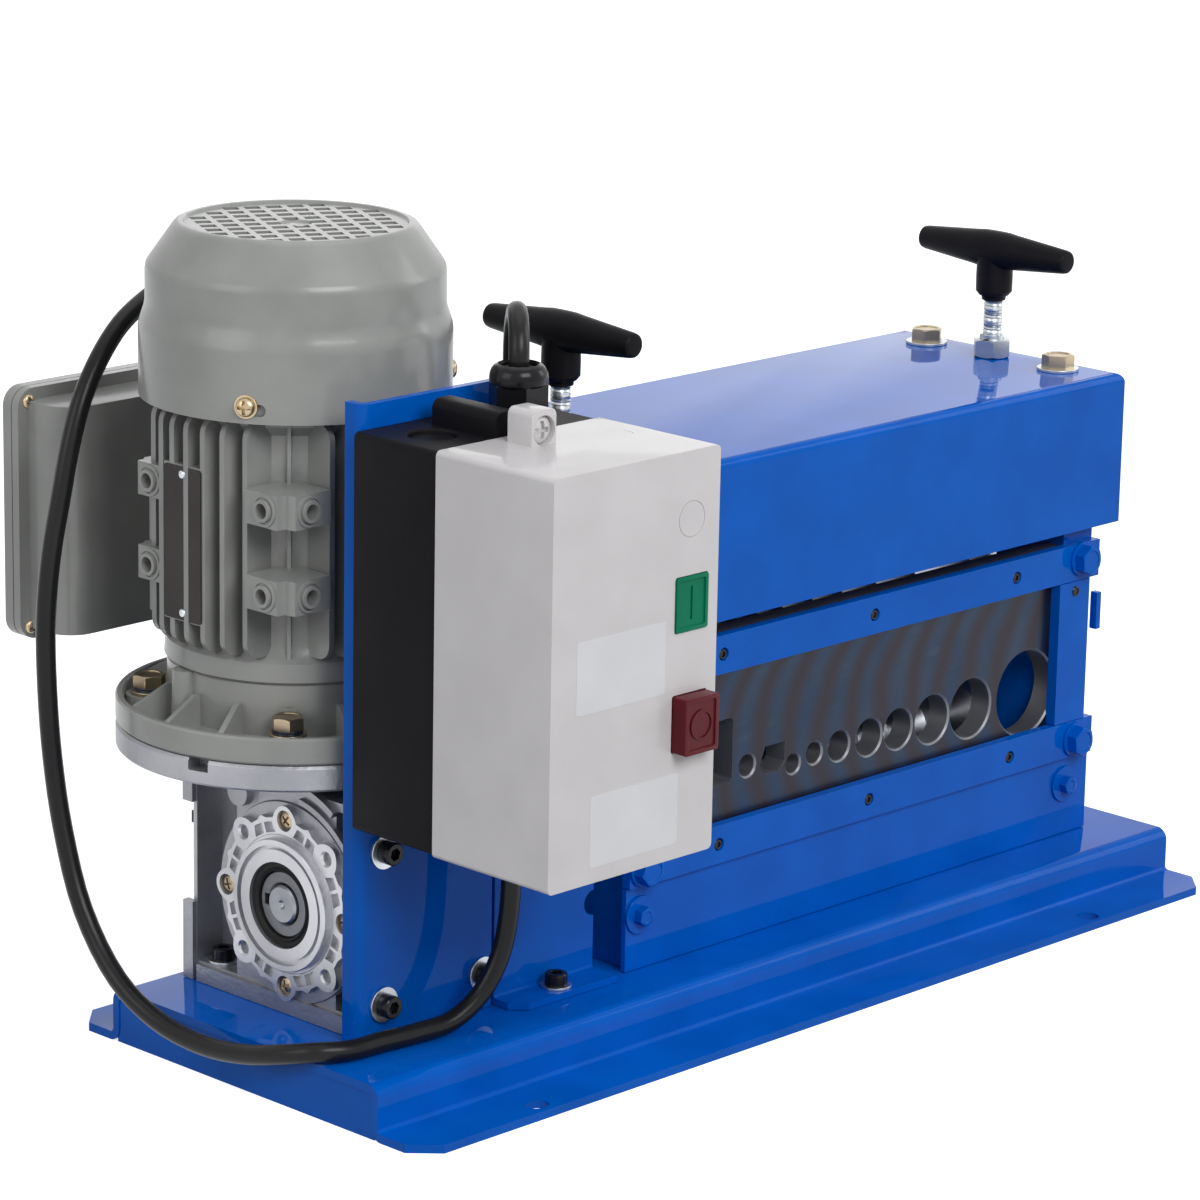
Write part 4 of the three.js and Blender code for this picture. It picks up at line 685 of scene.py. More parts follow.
def combine(body, tools, operation):
    """body and tools are meshes; the result is a new mesh."""
    for tool in tools:
        other = bpy.data.objects.new("tool", tool)
        scene.collection.objects.link(other)
        body = shaped(body, "BOOLEAN", operation=operation, solver="EXACT", use_self=True, object=other)
        bpy.data.objects.remove(other)
        bpy.data.meshes.remove(tool)
    return body


def carved(body, *tools):
    return combine(body, tools, "DIFFERENCE")


def welded(body, *others):
    return combine(body, others, "UNION")


def piece(name, mesh, finish_name, body="machine", stands_for=(), bevel=0.5, crease=32.0, segments=2):
    """Takes a mesh in drawing millimetres to its place, and gives it its finish, edges and body."""
    mesh.transform(TO_FRAME)
    for polygon in mesh.polygons:
        polygon.use_smooth = True
    mesh.set_sharp_from_angle(angle=math.radians(crease))
    mesh.materials.clear()
    mesh.materials.append(finishes[finish_name])
    mesh.name = name
    made = bpy.data.objects.new(name, mesh)
    scene.collection.objects.link(made)
    if bevel:
        edge = made.modifiers.new("edge", "BEVEL")
        edge.width = bevel * MM
        edge.segments = segments
        edge.limit_method = "ANGLE"
        edge.angle_limit = math.radians(crease)
        edge.harden_normals = True
    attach(made, body)
    if stands_for:
        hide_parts(*stands_for)
    return made


# %% [markdown]
# ## Soft edges before carving
# The last bevel of a piece gives every edge the same small radius. A moulded cover has much softer outer
# edges than the edges of its windows. So the outer form is softened first, and then carved.

# %% Soften a mesh
def softened(mesh, width, segments=4, angle=40.0):
    return shaped(mesh, "BEVEL", width=width, segments=segments, limit_method="ANGLE",
                  angle_limit=math.radians(angle))


# %% [markdown]
# ## What repeats: Geometry Nodes
# Bolts, screws, fins, vents and threads repeat or follow a rule. They could be duplicated by hand, but a
# small node tree with named sizes does it once and stays easy to change. Each tree is run on a helper,
# its result becomes a plain mesh, and the helper is thrown away.

# %% Building and running a tree
def new_tree(name, **inputs):
    """Each input is given with its usual value, or with its kind if it has none. The finish comes last."""
    tree = bpy.data.node_groups.new(name, "GeometryNodeTree")
    tree.is_modifier = True
    tree.interface.new_socket("Geometry", in_out="INPUT", socket_type="NodeSocketGeometry")
    for label, value in (*inputs.items(), ("Finish", "Material")):
        kind = value if isinstance(value, str) else type(value).__name__.capitalize()
        socket = tree.interface.new_socket(
            label.replace("_", " "), in_out="INPUT", socket_type="NodeSocket" + kind)
        if kind != value:
            socket.default_value = value
    tree.interface.new_socket("Geometry", in_out="OUTPUT", socket_type="NodeSocketGeometry")
    return tree, tree.nodes.new("NodeGroupInput"), tree.nodes.new("NodeGroupOutput")


def end_tree(tree, given, result, out):
    """Every tree ends the same way: instances made real, and the finish set."""
    real = node(tree, "GeometryNodeRealizeInstances", {0: result})
    coat = node(tree, "GeometryNodeSetMaterial",
                {"Geometry": real.outputs[0], "Material": given.outputs["Finish"]})
    tree.links.new(coat.outputs[0], out.inputs[0])


def run_tree(tree, mesh=None, **values):
    """Runs a tree on a mesh with named inputs, and gives back a plain mesh."""
    names = {s.name: s.identifier for s in tree.interface.items_tree if s.in_out == "INPUT"}
    keys = {names[label.replace("_", " ")]: value for label, value in values.items()}
    return shaped(mesh or bpy.data.meshes.new("nothing"), "NODES", node_group=tree, keys=keys)


# %% Copies of one fastener on named places
copies, given, out = new_tree("copies_on_places", Fastener="Object")
shape = node(copies, "GeometryNodeObjectInfo", {"Object": given.outputs["Fastener"]})
turn_of = node(copies, "GeometryNodeInputNamedAttribute", {"Name": "turn"}, data_type="QUATERNION")
to_points = node(copies, "GeometryNodeInstanceOnPoints", {
    "Points": given.outputs["Geometry"], "Instance": shape.outputs["Geometry"],
    "Rotation": turn_of.outputs["Attribute"]})
end_tree(copies, given, to_points.outputs["Instances"], out)

FACING = {sign + axis: (1 if sign == "+" else -1) * Vector(way) for sign in "+-"
          for axis, way in (("x", (1, 0, 0)), ("y", (0, 1, 0)), ("z", (0, 0, 1)))}


def fasteners(name, shape_mesh, places, finish_name, body="machine", bevel=0.25):
    """One fastener, drawn about the origin with its head up +Z, copied to places that each face a way."""
    model = bpy.data.objects.new("fastener", shape_mesh)
    scene.collection.objects.link(model)
    spots = bpy.data.meshes.new("spots")
    spots.from_pydata([p[:3] for p in places], [], [])
    turns = spots.attributes.new("turn", "QUATERNION", "POINT")
    for i, (x, y, z, facing, spin) in enumerate(places):
        way = FACING[facing] if isinstance(facing, str) else Vector(facing).normalized()
        stand = Vector((0, 0, 1)).rotation_difference(way)
        turns.data[i].value = stand @ Matrix.Rotation(math.radians(spin), 3, "Z").to_quaternion()
    made = run_tree(copies, spots, Fastener=model, Finish=finishes[finish_name])
    bpy.data.objects.remove(model)
    bpy.data.meshes.remove(shape_mesh)
    print(name, len(places), "copies")
    return piece(name, made, finish_name, body=body, bevel=bevel)


# %% Heads, nuts and washers, each drawn once
def hexagon(across_flats):
    return arc((0, 0), across_flats / math.sqrt(3), 0, 300, 5)


def hex_head(across_flats, height, dish=0.5):
    """A hexagon whose corners are turned off at the top, as on a real bolt."""
    corner = across_flats / math.sqrt(3)
    hexed = pushed(hexagon(across_flats), "z", (0, height))
    rim = across_flats / 2 * 0.98
    cone = lathed(
        [(0, -0.1), (corner + 1, -0.1), (corner + 1, height - (corner + 1 - rim) * 0.5), (rim, height),
         (rim - 1.2, height), (rim - 1.6, height - dish), (0, height - dish)], sides=48,
    )
    return combine(hexed, [cone], "INTERSECT")


def washer(outer, inner, thickness):
    return lathed([(inner, 0), (outer, 0), (outer, thickness), (inner, thickness)], sides=40)


def socket_head(radius, height, key):
    """A round head with a hexagon socket and a chamfered rim."""
    outer = lathed(
        [(0, 0), (radius, 0), (radius, height - 0.6), (radius - 0.6, height), (0, height)], sides=40
    )
    return carved(outer, pushed(hexagon(key), "z", (height * 0.45, height + 1)))


def cross_head(radius, height, arm=0.62, slot_width=0.26):
    """A domed head with a cross cut into it."""
    dome = [(0, 0), (radius, 0), (radius, height * 0.25)]
    dome += [(radius * math.cos(math.radians(a)), height * (0.25 + 0.75 * math.sin(math.radians(a))))
             for a in (25, 45, 65, 80)]
    head = lathed(dome + [(0, height)], sides=40)
    r, w = radius * arm, radius * slot_width / 2
    cross = [(w, w), (r, w), (r, -w), (w, -w), (w, -r), (-w, -r), (-w, -w), (-r, -w), (-r, w), (-w, w),
             (-w, r), (w, r)]
    return carved(head, pushed(cross[::-1], "z", (height * 0.15, height + 1)))

# %% [markdown]
# ## Base pan
# The base is one steel sheet folded to a hat section: a raised deck, two walls and two floor flanges. It
# could be four plates, but then the bends would be sharp. A drawn section with bend arcs gives the soft
# edges where the paint catches light. The clipped corners and the bolt holes are carved afterwards.

# %% Base pan
PAN_LENGTH, PAN_DEPTH, DECK, SHEET = 543.0, 174.0, 25.0, 4.0
ON_DECK = DECK + 0.3
FLANGE = 29.0
INNER_BEND, OUTER_BEND = 2.0, 6.0
inner_half = [(-FLANGE, 0.0)] + arc((-INNER_BEND, OUTER_BEND), OUTER_BEND, -90, 0, 8)
inner_half += arc((OUTER_BEND, DECK - OUTER_BEND), INNER_BEND, 180, 90, 6)
outer_half = [(-FLANGE, SHEET)] + arc((-INNER_BEND, OUTER_BEND), INNER_BEND, -90, 0, 6)
outer_half += arc((OUTER_BEND, DECK - OUTER_BEND), OUTER_BEND, 180, 90, 8)
across = lambda half: [(PAN_DEPTH - y, z) for y, z in half]
hat = inner_half + across(inner_half)[::-1] + across(outer_half) + outer_half[::-1]
pan = pushed(hat, "x", (0, PAN_LENGTH))
ends = Draft()
END_INSET, END_EDGE = 0.6, 2.6
for start in (END_INSET, PAN_LENGTH - SHEET - END_INSET):
    ends.block((start, start + SHEET), (END_EDGE, PAN_DEPTH - END_EDGE), (0.0, DECK - END_EDGE))
pan = welded(pan, ends.mesh())
clips = Draft()
CLIP, OVER = 12.0, 5.0
for x, in_x in ((0, 1), (PAN_LENGTH, -1)):
    for y, in_y in ((-FLANGE, 1), (PAN_DEPTH + FLANGE, -1)):
        corner = [
            (x - in_x * OVER, y - in_y * OVER),
            (x + in_x * (CLIP + OVER), y - in_y * OVER),
            (x - in_x * OVER, y + in_y * (CLIP + OVER)),
        ]
        clips.prism(corner, "z", (-OVER, SHEET + OVER))
HOLE_XS, HOLE_OUT, HOLE_RADIUS = (75.0, 455.0), 21.0, 5.5
for x in HOLE_XS:
    for y in (-HOLE_OUT, PAN_DEPTH + HOLE_OUT):
        clips.prism(circle((x, y), HOLE_RADIUS), "z", (-OVER, SHEET + OVER))
pan = carved(pan, clips.mesh())
piece("painted_base_pan", pan, "blue_gloss_paint", stands_for=["base_pan"], bevel=0.7)

# %% [markdown]
# ## Gearbox housing
# The worm gearbox is an aluminium casting. On the open side it has tall recesses at both corners, where
# the foot bolts stand, a thick foot plate, and round ribs about the output. A casting could be sculpted,
# but these forms are plain, so they are pushed and carved, and the bevel gives the cast edge.

# %% Housing
HOUSING_LEFT, HOUSING_RIGHT = 35.5, 106.5
HOUSING_FRONT, HOUSING_BACK = 45.0, 165.0
HOUSING_FOOT, HOUSING_TOP = ON_DECK, 129.5
MOTOR_AXIS = MOTOR_X, MOTOR_Y = 71.0, 131.0
MOTOR_LINE = ("z", MOTOR_AXIS)
DRIVE_POINT = DRIVE_Y, DRIVE_Z = 94.0, 77.0
DRIVE_LINE = ("x", DRIVE_POINT)
plan = [(HOUSING_LEFT, HOUSING_FRONT), (HOUSING_RIGHT, HOUSING_FRONT)]
plan += arc((HOUSING_RIGHT - 18, HOUSING_BACK - 18), 18, 0, 90, 10)
plan += arc((HOUSING_LEFT + 9, HOUSING_BACK - 9), 9, 90, 180, 10)
housing = pushed(plan, "z", (HOUSING_FOOT, HOUSING_TOP))
hollows = Draft()
PLATE = 9.0
for left, right in ((HOUSING_LEFT - 5, HOUSING_LEFT + 15), (HOUSING_RIGHT - 15, HOUSING_RIGHT + 5)):
    for near, far in ((HOUSING_FRONT - 2, HOUSING_FRONT + 20), (HOUSING_BACK - 35, HOUSING_BACK - 8)):
        hollows.block((left, right), (near, far), (HOUSING_FOOT + PLATE, HOUSING_TOP - 4))
SEAL_BORE, ROOM_RADIUS, INPUT_BORE = 22, 31, 17
hollows.turned(rod(SEAL_BORE, HOUSING_LEFT - 5, HOUSING_RIGHT + 5), *DRIVE_LINE)
hollows.turned(rod(ROOM_RADIUS, HOUSING_LEFT + 7, HOUSING_RIGHT - 7), *DRIVE_LINE)
hollows.turned(rod(INPUT_BORE, 32.5, 140), *MOTOR_LINE)
housing = carved(housing, hollows.mesh())

# %% Ribs and bosses that stand on the casting
def arc_band(centre, inner, outer, start, end, steps=16):
    """A flat band along an arc, as an outline."""
    return arc(centre, outer, start, end, steps) + arc(centre, inner, end, start, steps)


ribs = Draft()
OPEN_FACE = HOUSING_LEFT
ribs.prism(arc_band(DRIVE_POINT, 47.5, 50.0, 98, 150), "x", (OPEN_FACE - 2.2, OPEN_FACE + 1))
ribs.prism(arc_band(DRIVE_POINT, 54.0, 57.0, 96, 122), "x", (OPEN_FACE - 3.2, OPEN_FACE + 1))
ribs.turned(rod(45.5, OPEN_FACE - 1.2, OPEN_FACE + 1, 46.5), *DRIVE_LINE)
ribs.turned(rod(6.5, OPEN_FACE - 4, OPEN_FACE + 1, 7), "x", (125.5, 121.5), 40)
EDGE_RIB = (HOUSING_BACK - 7.5, HOUSING_BACK - 1)
for ys, zs in ((EDGE_RIB, (109, HOUSING_TOP)), (EDGE_RIB, (HOUSING_FOOT, 62)),
               ((HOUSING_FRONT + 1, HOUSING_BACK - 10), (HOUSING_FOOT, 33.3))):
    ribs.block((OPEN_FACE - 2.4, OPEN_FACE + 1), ys, zs)
bore = lathed(rod(SEAL_BORE, OPEN_FACE - 9, OPEN_FACE + 5), *DRIVE_LINE)
housing = welded(housing, carved(ribs.mesh(), bore))
piece("cast_gearbox_housing", housing, "cast_aluminium", stands_for=["gearbox_housing"], bevel=0.8)

# %% [markdown]
# ## Output cover
# A die-cast cover closes the gearbox. It has eight lobes, four for its own screws and four tapped for
# what a customer bolts on, with pairs of small pockets between them that save metal. A turned ring in the
# middle centres the driven part. One outline carries the lobes, and the pockets are holes in it.

# %% Cover outline and pockets
COVER_FACE = 31.2


def lobed_outline(base=39.0, lobe=6.0, steps=192):
    """A ring that swells at each lobe and stays round between them."""
    run = []
    for k in range(steps):
        angle = 2 * math.pi * k / steps
        swell = max(0.0, math.cos(8 * angle)) ** 0.8
        bump = max(0.0, math.cos(8 * angle + math.pi)) ** 14
        radius = base + lobe * swell + 1.6 * bump
        run.append(around(DRIVE_POINT, radius, angle))
    return run


pockets = []
for k in range(8):
    middle = 22.5 + 45 * k
    for side in (-1, 1):
        near, far = sorted((middle + side * 1.3, middle + side * 9.5))
        inner_near, inner_far = sorted((middle + side * 1.3, middle + side * 12.5))
        pockets.append(arc(DRIVE_POINT, 37.2, near, far, 4)
                       + arc(DRIVE_POINT, 32.4, inner_far, inner_near, 4))
LOBE_CIRCLE = 38.2
lobe_points = [around(DRIVE_POINT, LOBE_CIRCLE, math.radians(45 * k)) for k in range(8)]
screws, tapped = lobe_points[::2], lobe_points[1::2]
lobes = pushed(lobed_outline(), "x", (COVER_FACE, OPEN_FACE - 0.3), holes=[circle(DRIVE_POINT, 22, 64)])
sunk = Draft()
for pocket in pockets:
    sunk.prism(pocket, "x", (COVER_FACE - 2, COVER_FACE + 2.6))
for y, z in screws:
    sunk.turned(rod(4.9, COVER_FACE - 2, COVER_FACE + 2.8, 4.7), "x", (y, z), 32)
for y, z in tapped:
    sunk.turned(from_base(COVER_FACE, [(0, -2), (3.6, -2), (3.6, 0), (2.7, 1), (2.7, 3.2), (0, 3.2)]),
                "x", (y, z), 32)
lobes = carved(lobes, sunk.mesh())
ring_section = from_base(COVER_FACE, [(19.6, -3.0), (25.2, -3.0), (25.2, -1.0), (27.2, -1.0), (27.2, -3.5),
                                      (29.6, -3.5), (30.0, -3.1), (30.0, 1.0), (31.6, -0.2), (31.8, 1.2),
                                      (19.6, 1.2)])
centring = lathed(ring_section, *DRIVE_LINE, 128)
piece("lobed_output_cover", welded(lobes, centring), "bright_aluminium",
      stands_for=["output_cover"], bevel=0.35)

# %% Seal, hollow shaft end with its keyway, and the feed shaft's own end
seal = lathed(from_base(COVER_FACE, [(15.3, -1.4), (16.2, -2.2), (17.0, -1.2), (19.4, -1.2), (19.4, 3.5),
                                     (15.3, 3.5)]), *DRIVE_LINE, 96)
piece("output_seal", seal, "seal_rubber", bevel=0)
WHEEL_LEFT, WHEEL_RIGHT = 31.0, 111.0
tooth_line = []
TEETH = 30
for k in range(TEETH):
    for share, radius in ((0.0, 24.9), (0.14, 24.9), (0.3, 27.5), (0.56, 27.5), (0.72, 24.9)):
        angle = 2 * math.pi * (k + share) / TEETH
        tooth_line.append(around(DRIVE_POINT, radius, angle))
wheel = pushed(tooth_line, "x", (61, 81))
hub_section = [(9.2, WHEEL_LEFT + 0.8), (10.0, WHEEL_LEFT), (14.4, WHEEL_LEFT), (15.0, WHEEL_LEFT + 0.6),
               (15.0, WHEEL_RIGHT - 0.6), (14.4, WHEEL_RIGHT), (10.0, WHEEL_RIGHT),
               (9.2, WHEEL_RIGHT - 0.8)]
hub = lathed(hub_section, *DRIVE_LINE, 96)
open_bore = lathed(rod(9.2, 50, 90), *DRIVE_LINE, 96)
keyway = boxed((WHEEL_LEFT - 2, WHEEL_RIGHT + 2), (DRIVE_Y + 6, DRIVE_Y + 12.4),
               (DRIVE_Z - 2.6, DRIVE_Z + 2.6))
wheel = carved(welded(carved(wheel, open_bore), hub), keyway)
piece("worm_wheel_and_hollow_shaft", wheel, "bored_steel", body="feed_drive",
      stands_for=["worm_wheel"], bevel=0.15)
shaft_section = [(0, 31.6), (1.3, 30.4), (2.1, 29.6), (2.6, 29.52), (7.9, 29.5), (8.8, 30.4), (8.8, 514.2),
                 (8.0, 515.0), (0, 515.0)]
piece(
    "keyed_feed_shaft",
    lathed(shaft_section, *DRIVE_LINE, 72),
    "machined_steel", body="feed_drive", stands_for=["feed_shaft"], bevel=0,
)

# %% [markdown]
# ## Input flange
# The motor bolts to a round aluminium flange on the gearbox's top. Its turned rim has a small drain notch
# on the left. A lathe section is the natural way to make it, with the notch carved from the rim.

# %% Input flange
FLANGE_FOOT, FLANGE_TOP = 135.8, 147.7
BOLT_CIRCLE = 65.0
BOLT_ANGLES = [math.radians(45 + 90 * k) for k in range(4)]


def about_motor(outline, angle):
    """An outline drawn along x, turned about the motor's axis."""
    way = Matrix.Rotation(angle, 3, "Z")
    return [(MOTOR_X + p.x, MOTOR_Y + p.y) for p in (way @ Vector((u, v, 0)) for u, v in outline)]


section = [(17, HOUSING_TOP + 0.3), (44, HOUSING_TOP + 0.3), (44, 132.5), (48, FLANGE_FOOT),
           (78.8, FLANGE_FOOT), (80, FLANGE_FOOT + 1.2), (80, FLANGE_TOP - 1.4), (79, FLANGE_TOP),
           (17, FLANGE_TOP)]
flange = lathed(section, *MOTOR_LINE, 160)
NOTCH, NOTCH_TURN = ((70, -5), (90, -5), (90, 5), (70, 5)), math.radians(196)
notch = pushed(about_motor(NOTCH, NOTCH_TURN), "z", (FLANGE_TOP - 5.5, FLANGE_TOP + 2))
holes = Draft()
for angle in BOLT_ANGLES:
    holes.prism(circle(around(MOTOR_AXIS, BOLT_CIRCLE, angle), 4.5), "z", (FLANGE_FOOT - 5, FLANGE_TOP + 5))
flange = carved(flange, notch, holes.mesh())
piece("turned_input_flange", flange, "cast_aluminium", stands_for=["input_flange"], bevel=0.3)

# %% [markdown]
# ## Motor end shield
# The casting that joins motor and flange has a raised rim, a trough inside it, and thin gussets that run
# up from the rim to the drum. Bolts stand in the trough. The rim and drum are one turned section. The
# gussets follow a rule, equal turns about the axis, so a node tree places them.

# %% Rim, trough and drum
SHIELD_FOOT, SHIELD_TOP, GUSSET_TOP = 148.0, 178.0, 168.5
RIM_TOP, BOLT_SEAT = 160.0, 157.4
POST_TURN = 0.62
section = [(17, SHIELD_FOOT), (79, SHIELD_FOOT), (80, SHIELD_FOOT + 1), (80, RIM_TOP - 1.0),
           (79.2, RIM_TOP), (77.0, RIM_TOP), (76.2, RIM_TOP - 1.2), (75.6, SHIELD_FOOT + 5.2),
           (58.6, SHIELD_FOOT + 4.4), (57.0, SHIELD_FOOT + 6.4), (57.0, SHIELD_TOP - 1.0),
           (56.2, SHIELD_TOP), (53, SHIELD_TOP), (53, SHIELD_FOOT + 6), (17, SHIELD_FOOT + 6)]
shield = lathed(section, *MOTOR_LINE, 160)
bosses = Draft()
for angle in BOLT_ANGLES:
    bosses.turned(rod(9.4, SHIELD_FOOT + 1, BOLT_SEAT, 9.0), "z", around(MOTOR_AXIS, 66.6, angle), 40)
    bosses.turned(rod(6.2, SHIELD_FOOT + 4, SHIELD_TOP, 5.4), "z",
                  around(MOTOR_AXIS, 57.5, angle + POST_TURN), 32)
shield = welded(shield, bosses.mesh())

# %% Gussets: one thin web, turned about the axis by a node tree
def placed(mesh, place, degrees=0.0, axis="Z"):
    """Turns a mesh about the origin and then moves it."""
    mesh.transform(Matrix.Translation(place) @ Matrix.Rotation(math.radians(degrees), 4, axis))
    return mesh


def joined(*meshes):
    """Several meshes gathered in one, none of them cut."""
    gathered = bmesh.new()
    for mesh in meshes:
        gathered.from_mesh(mesh)
        bpy.data.meshes.remove(mesh)
    made = bpy.data.meshes.new("joined")
    gathered.to_mesh(made)
    gathered.free()
    return made


gusset_tree, given, out = new_tree("turned_copies", Web="Object", Count=16, First_Turn=0.0)
row = node(gusset_tree, "GeometryNodeMeshLine",
           {"Count": given.outputs["Count"], "Offset": (0.0, 0.0, 0.0)})
web = node(gusset_tree, "GeometryNodeObjectInfo", {"Object": given.outputs["Web"]})
work_out = calculator(gusset_tree)
share = work_out("DIVIDE", node(gusset_tree, "GeometryNodeInputIndex").outputs[0], given.outputs["Count"])
turned = node(gusset_tree, "ShaderNodeCombineXYZ", {
    "Z": work_out("MULTIPLY_ADD", share, 2 * math.pi, given.outputs["First Turn"])})
place = node(gusset_tree, "GeometryNodeInstanceOnPoints", {
    "Points": row.outputs["Mesh"], "Instance": web.outputs["Geometry"], "Rotation": turned.outputs[0]})
end_tree(gusset_tree, given, place.outputs["Instances"], out)

web_line = [(57.0, SHIELD_FOOT + 4.5), (77.0, SHIELD_FOOT + 4.5), (77.0, RIM_TOP - 1.6),
            (60.0, GUSSET_TOP), (57.0, GUSSET_TOP)]
web_object = bpy.data.objects.new("web", pushed(web_line, "y", (-1.3, 1.3)))
scene.collection.objects.link(web_object)
gussets = joined(*(
    run_tree(gusset_tree, Web=web_object, Count=4, First_Turn=math.radians(turn),
             Finish=finishes["grey_motor_paint"]) for turn in (0.0, 22.5, 67.5)))
bpy.data.objects.remove(web_object)
shield = welded(shield, placed(gussets, (*MOTOR_AXIS, 0)))
through = Draft()
for angle in BOLT_ANGLES:
    through.turned(rod(8.6, BOLT_SEAT, RIM_TOP + 8), "z", around(MOTOR_AXIS, BOLT_CIRCLE, angle), 40)
shield = carved(shield, through.mesh())
piece("ribbed_end_shield", shield, "grey_motor_paint", stands_for=["motor_end_shield"], bevel=0.35)

# %% [markdown]
# ## Motor frame
# The frame is extruded aluminium: a round core with cooling fins that all point the same way on each
# side, so that it slides out of its die. The fins follow a rule, so a node tree makes them: it walks
# along a row, works out how far each fin reaches to touch the outer circle, and sets a thin slab there.

# %% Fin tree
fins_tree, given, out = new_tree(
    "cooling_fins", Count=7, Pitch=10.0, Reach=64.0, Root=50.0, Thickness=3.0, Height=100.0)
work_out = calculator(fins_tree)
given_of = given.outputs
half_steps = work_out("MULTIPLY", work_out("SUBTRACT", given_of["Count"], 1.0), -0.5)
first = node(fins_tree, "ShaderNodeCombineXYZ", {
    "X": given_of["Root"], "Y": work_out("MULTIPLY", half_steps, given_of["Pitch"])})
gap = node(fins_tree, "ShaderNodeCombineXYZ", {"Y": given_of["Pitch"]})
row = node(fins_tree, "GeometryNodeMeshLine", {
    "Count": given_of["Count"], "Start Location": first.outputs[0], "Offset": gap.outputs[0]})
parts = node(fins_tree, "ShaderNodeSeparateXYZ",
             {0: node(fins_tree, "GeometryNodeInputPosition").outputs[0]})
left_over = work_out("SUBTRACT", work_out("POWER", given_of["Reach"], 2.0),
                     work_out("POWER", parts.outputs["Y"], 2.0))
blade_length = work_out("SUBTRACT", work_out("SQRT", left_over), given_of["Root"])
size = node(fins_tree, "ShaderNodeCombineXYZ",
            {"X": blade_length, "Y": given_of["Thickness"], "Z": given_of["Height"]})
slab = node(fins_tree, "GeometryNodeMeshCube", {"Size": (1.0, 1.0, 1.0)})
shift = node(fins_tree, "GeometryNodeTransform",
             {"Geometry": slab.outputs["Mesh"], "Translation": (0.5, 0.0, 0.5)})
stand = node(fins_tree, "GeometryNodeInstanceOnPoints", {
    "Points": row.outputs["Mesh"], "Instance": shift.outputs[0], "Scale": size.outputs[0]})
end_tree(fins_tree, given, stand.outputs["Instances"], out)

# %% Four banks of fins; a bevel of their outer edges rounds the ends of each fin
FRAME_FOOT, FRAME_TOP = 178.3, 296.0
FIN_FOOT, FIN_TOP = 190.0, 294.6
FIN_COUNT, FIN_PITCH, FIN_REACH, FIN_THICKNESS = 7, 10.0, 64.0, 3.0


def fin_bank(turn):
    made = run_tree(fins_tree, Count=FIN_COUNT, Pitch=FIN_PITCH, Reach=FIN_REACH, Root=40.0,
                    Thickness=FIN_THICKNESS, Height=FIN_TOP - FIN_FOOT, Finish=finishes["grey_motor_paint"])
    return placed(made, (*MOTOR_AXIS, FIN_FOOT), turn)


fins = joined(*(fin_bank(90 * k) for k in range(4)))
print("fins:", len(fins.polygons) // 6)
outer_fins = bmesh.new()
outer_fins.from_mesh(fins)
END_ROUND, LEVEL, OUTSIDE = 7.0, 0.01, 52.0
tips = [e for e in outer_fins.edges
        if abs(e.verts[0].co.z - e.verts[1].co.z) < LEVEL
        and (e.verts[0].co - e.verts[1].co).length < FIN_THICKNESS + 0.5
        and min((v.co.xy - Vector(MOTOR_AXIS)).length for v in e.verts) > OUTSIDE]
bmesh.ops.bevel(outer_fins, geom=tips, offset=END_ROUND, segments=5, profile=0.5, affect="EDGES")
outer_fins.to_mesh(fins)
outer_fins.free()

# %% Core, parting ridges, corner pads and the nameplate's bed
core_section = [(46, FRAME_FOOT), (57.5, FRAME_FOOT), (58.2, FRAME_FOOT + 0.8), (57.6, FRAME_FOOT + 9),
                (54.0, FRAME_FOOT + 13), (53.0, FRAME_FOOT + 16), (53.0, FRAME_TOP - 8),
                (56, FRAME_TOP - 4), (56, FRAME_TOP), (46, FRAME_TOP)]
core = lathed(core_section, *MOTOR_LINE, 128)
extras = Draft()
RIDGE = ((50, -1.6), (56.2, -0.8), (56.2, 0.8), (50, 1.6))
for angle in BOLT_ANGLES:
    extras.prism(about_motor(RIDGE, angle), "z", (FRAME_FOOT + 0.5, FRAME_TOP - 1))
PAD_LEVELS = ((215.0, 230.0), (252.7, 267.7))
PAD_PLACES = []
PAD_FACE, PAD_HOLE, REAR_PADS_IN = 60, 46.5, 18.0
PAD_PLAN = ((34, 34), (PAD_FACE, 34), (PAD_FACE, 54.4), (55.4, 55.0), (54.4, PAD_FACE), (34, PAD_FACE))
for low, high in PAD_LEVELS:
    middle = (low + high) / 2
    for sx in (-1, 1):
        for sy, inward in ((-1, 0.0), (1, REAR_PADS_IN)):
            corner = [(MOTOR_X + sx * u, MOTOR_Y + sy * (min(v, 57.0) - inward if inward else v))
                      for u, v in PAD_PLAN]
            extras.prism(corner if sx * sy > 0 else corner[::-1], "z", (low, high))
            PAD_PLACES.append(("x", sx, (MOTOR_Y + sy * (PAD_HOLE - inward), middle)))
            if not inward:
                PAD_PLACES.append(("y", sy, (MOTOR_X + sx * PAD_HOLE, middle)))
pad_holes = Draft()
for axis, sign, centre in PAD_PLACES:
    face = (MOTOR_X if axis == "x" else MOTOR_Y) + sign * PAD_FACE
    collar = [(0, -2), (7.2, -2), (7.0, 0.8), (5.9, 0.9), (5.7, 0.3), (5.1, 0.3), (4.9, 2.2), (0, 2.2)]
    extras.turned([(radius, face + sign * rise) for radius, rise in collar], axis, centre, 40)
    hole = [(0, 4), (3.6, 4), (3.2, 0), (3.2, -7), (0, -9)]
    pad_holes.turned([(radius, face + sign * rise) for radius, rise in hole], axis, centre, 32)
terminal_bed = ((MOTOR_X - 30, MOTOR_X + 30), (MOTOR_Y + 47, MOTOR_Y + 64), (189.5, 259.5))
nameplate_bed = ((MOTOR_X - 63.2, MOTOR_X - 50), (MOTOR_Y - 10, MOTOR_Y + 15), (202.0, 272.0))
for bed in (terminal_bed, nameplate_bed):
    extras.block(*bed)
frame_body = welded(joined(core, fins), extras.mesh())
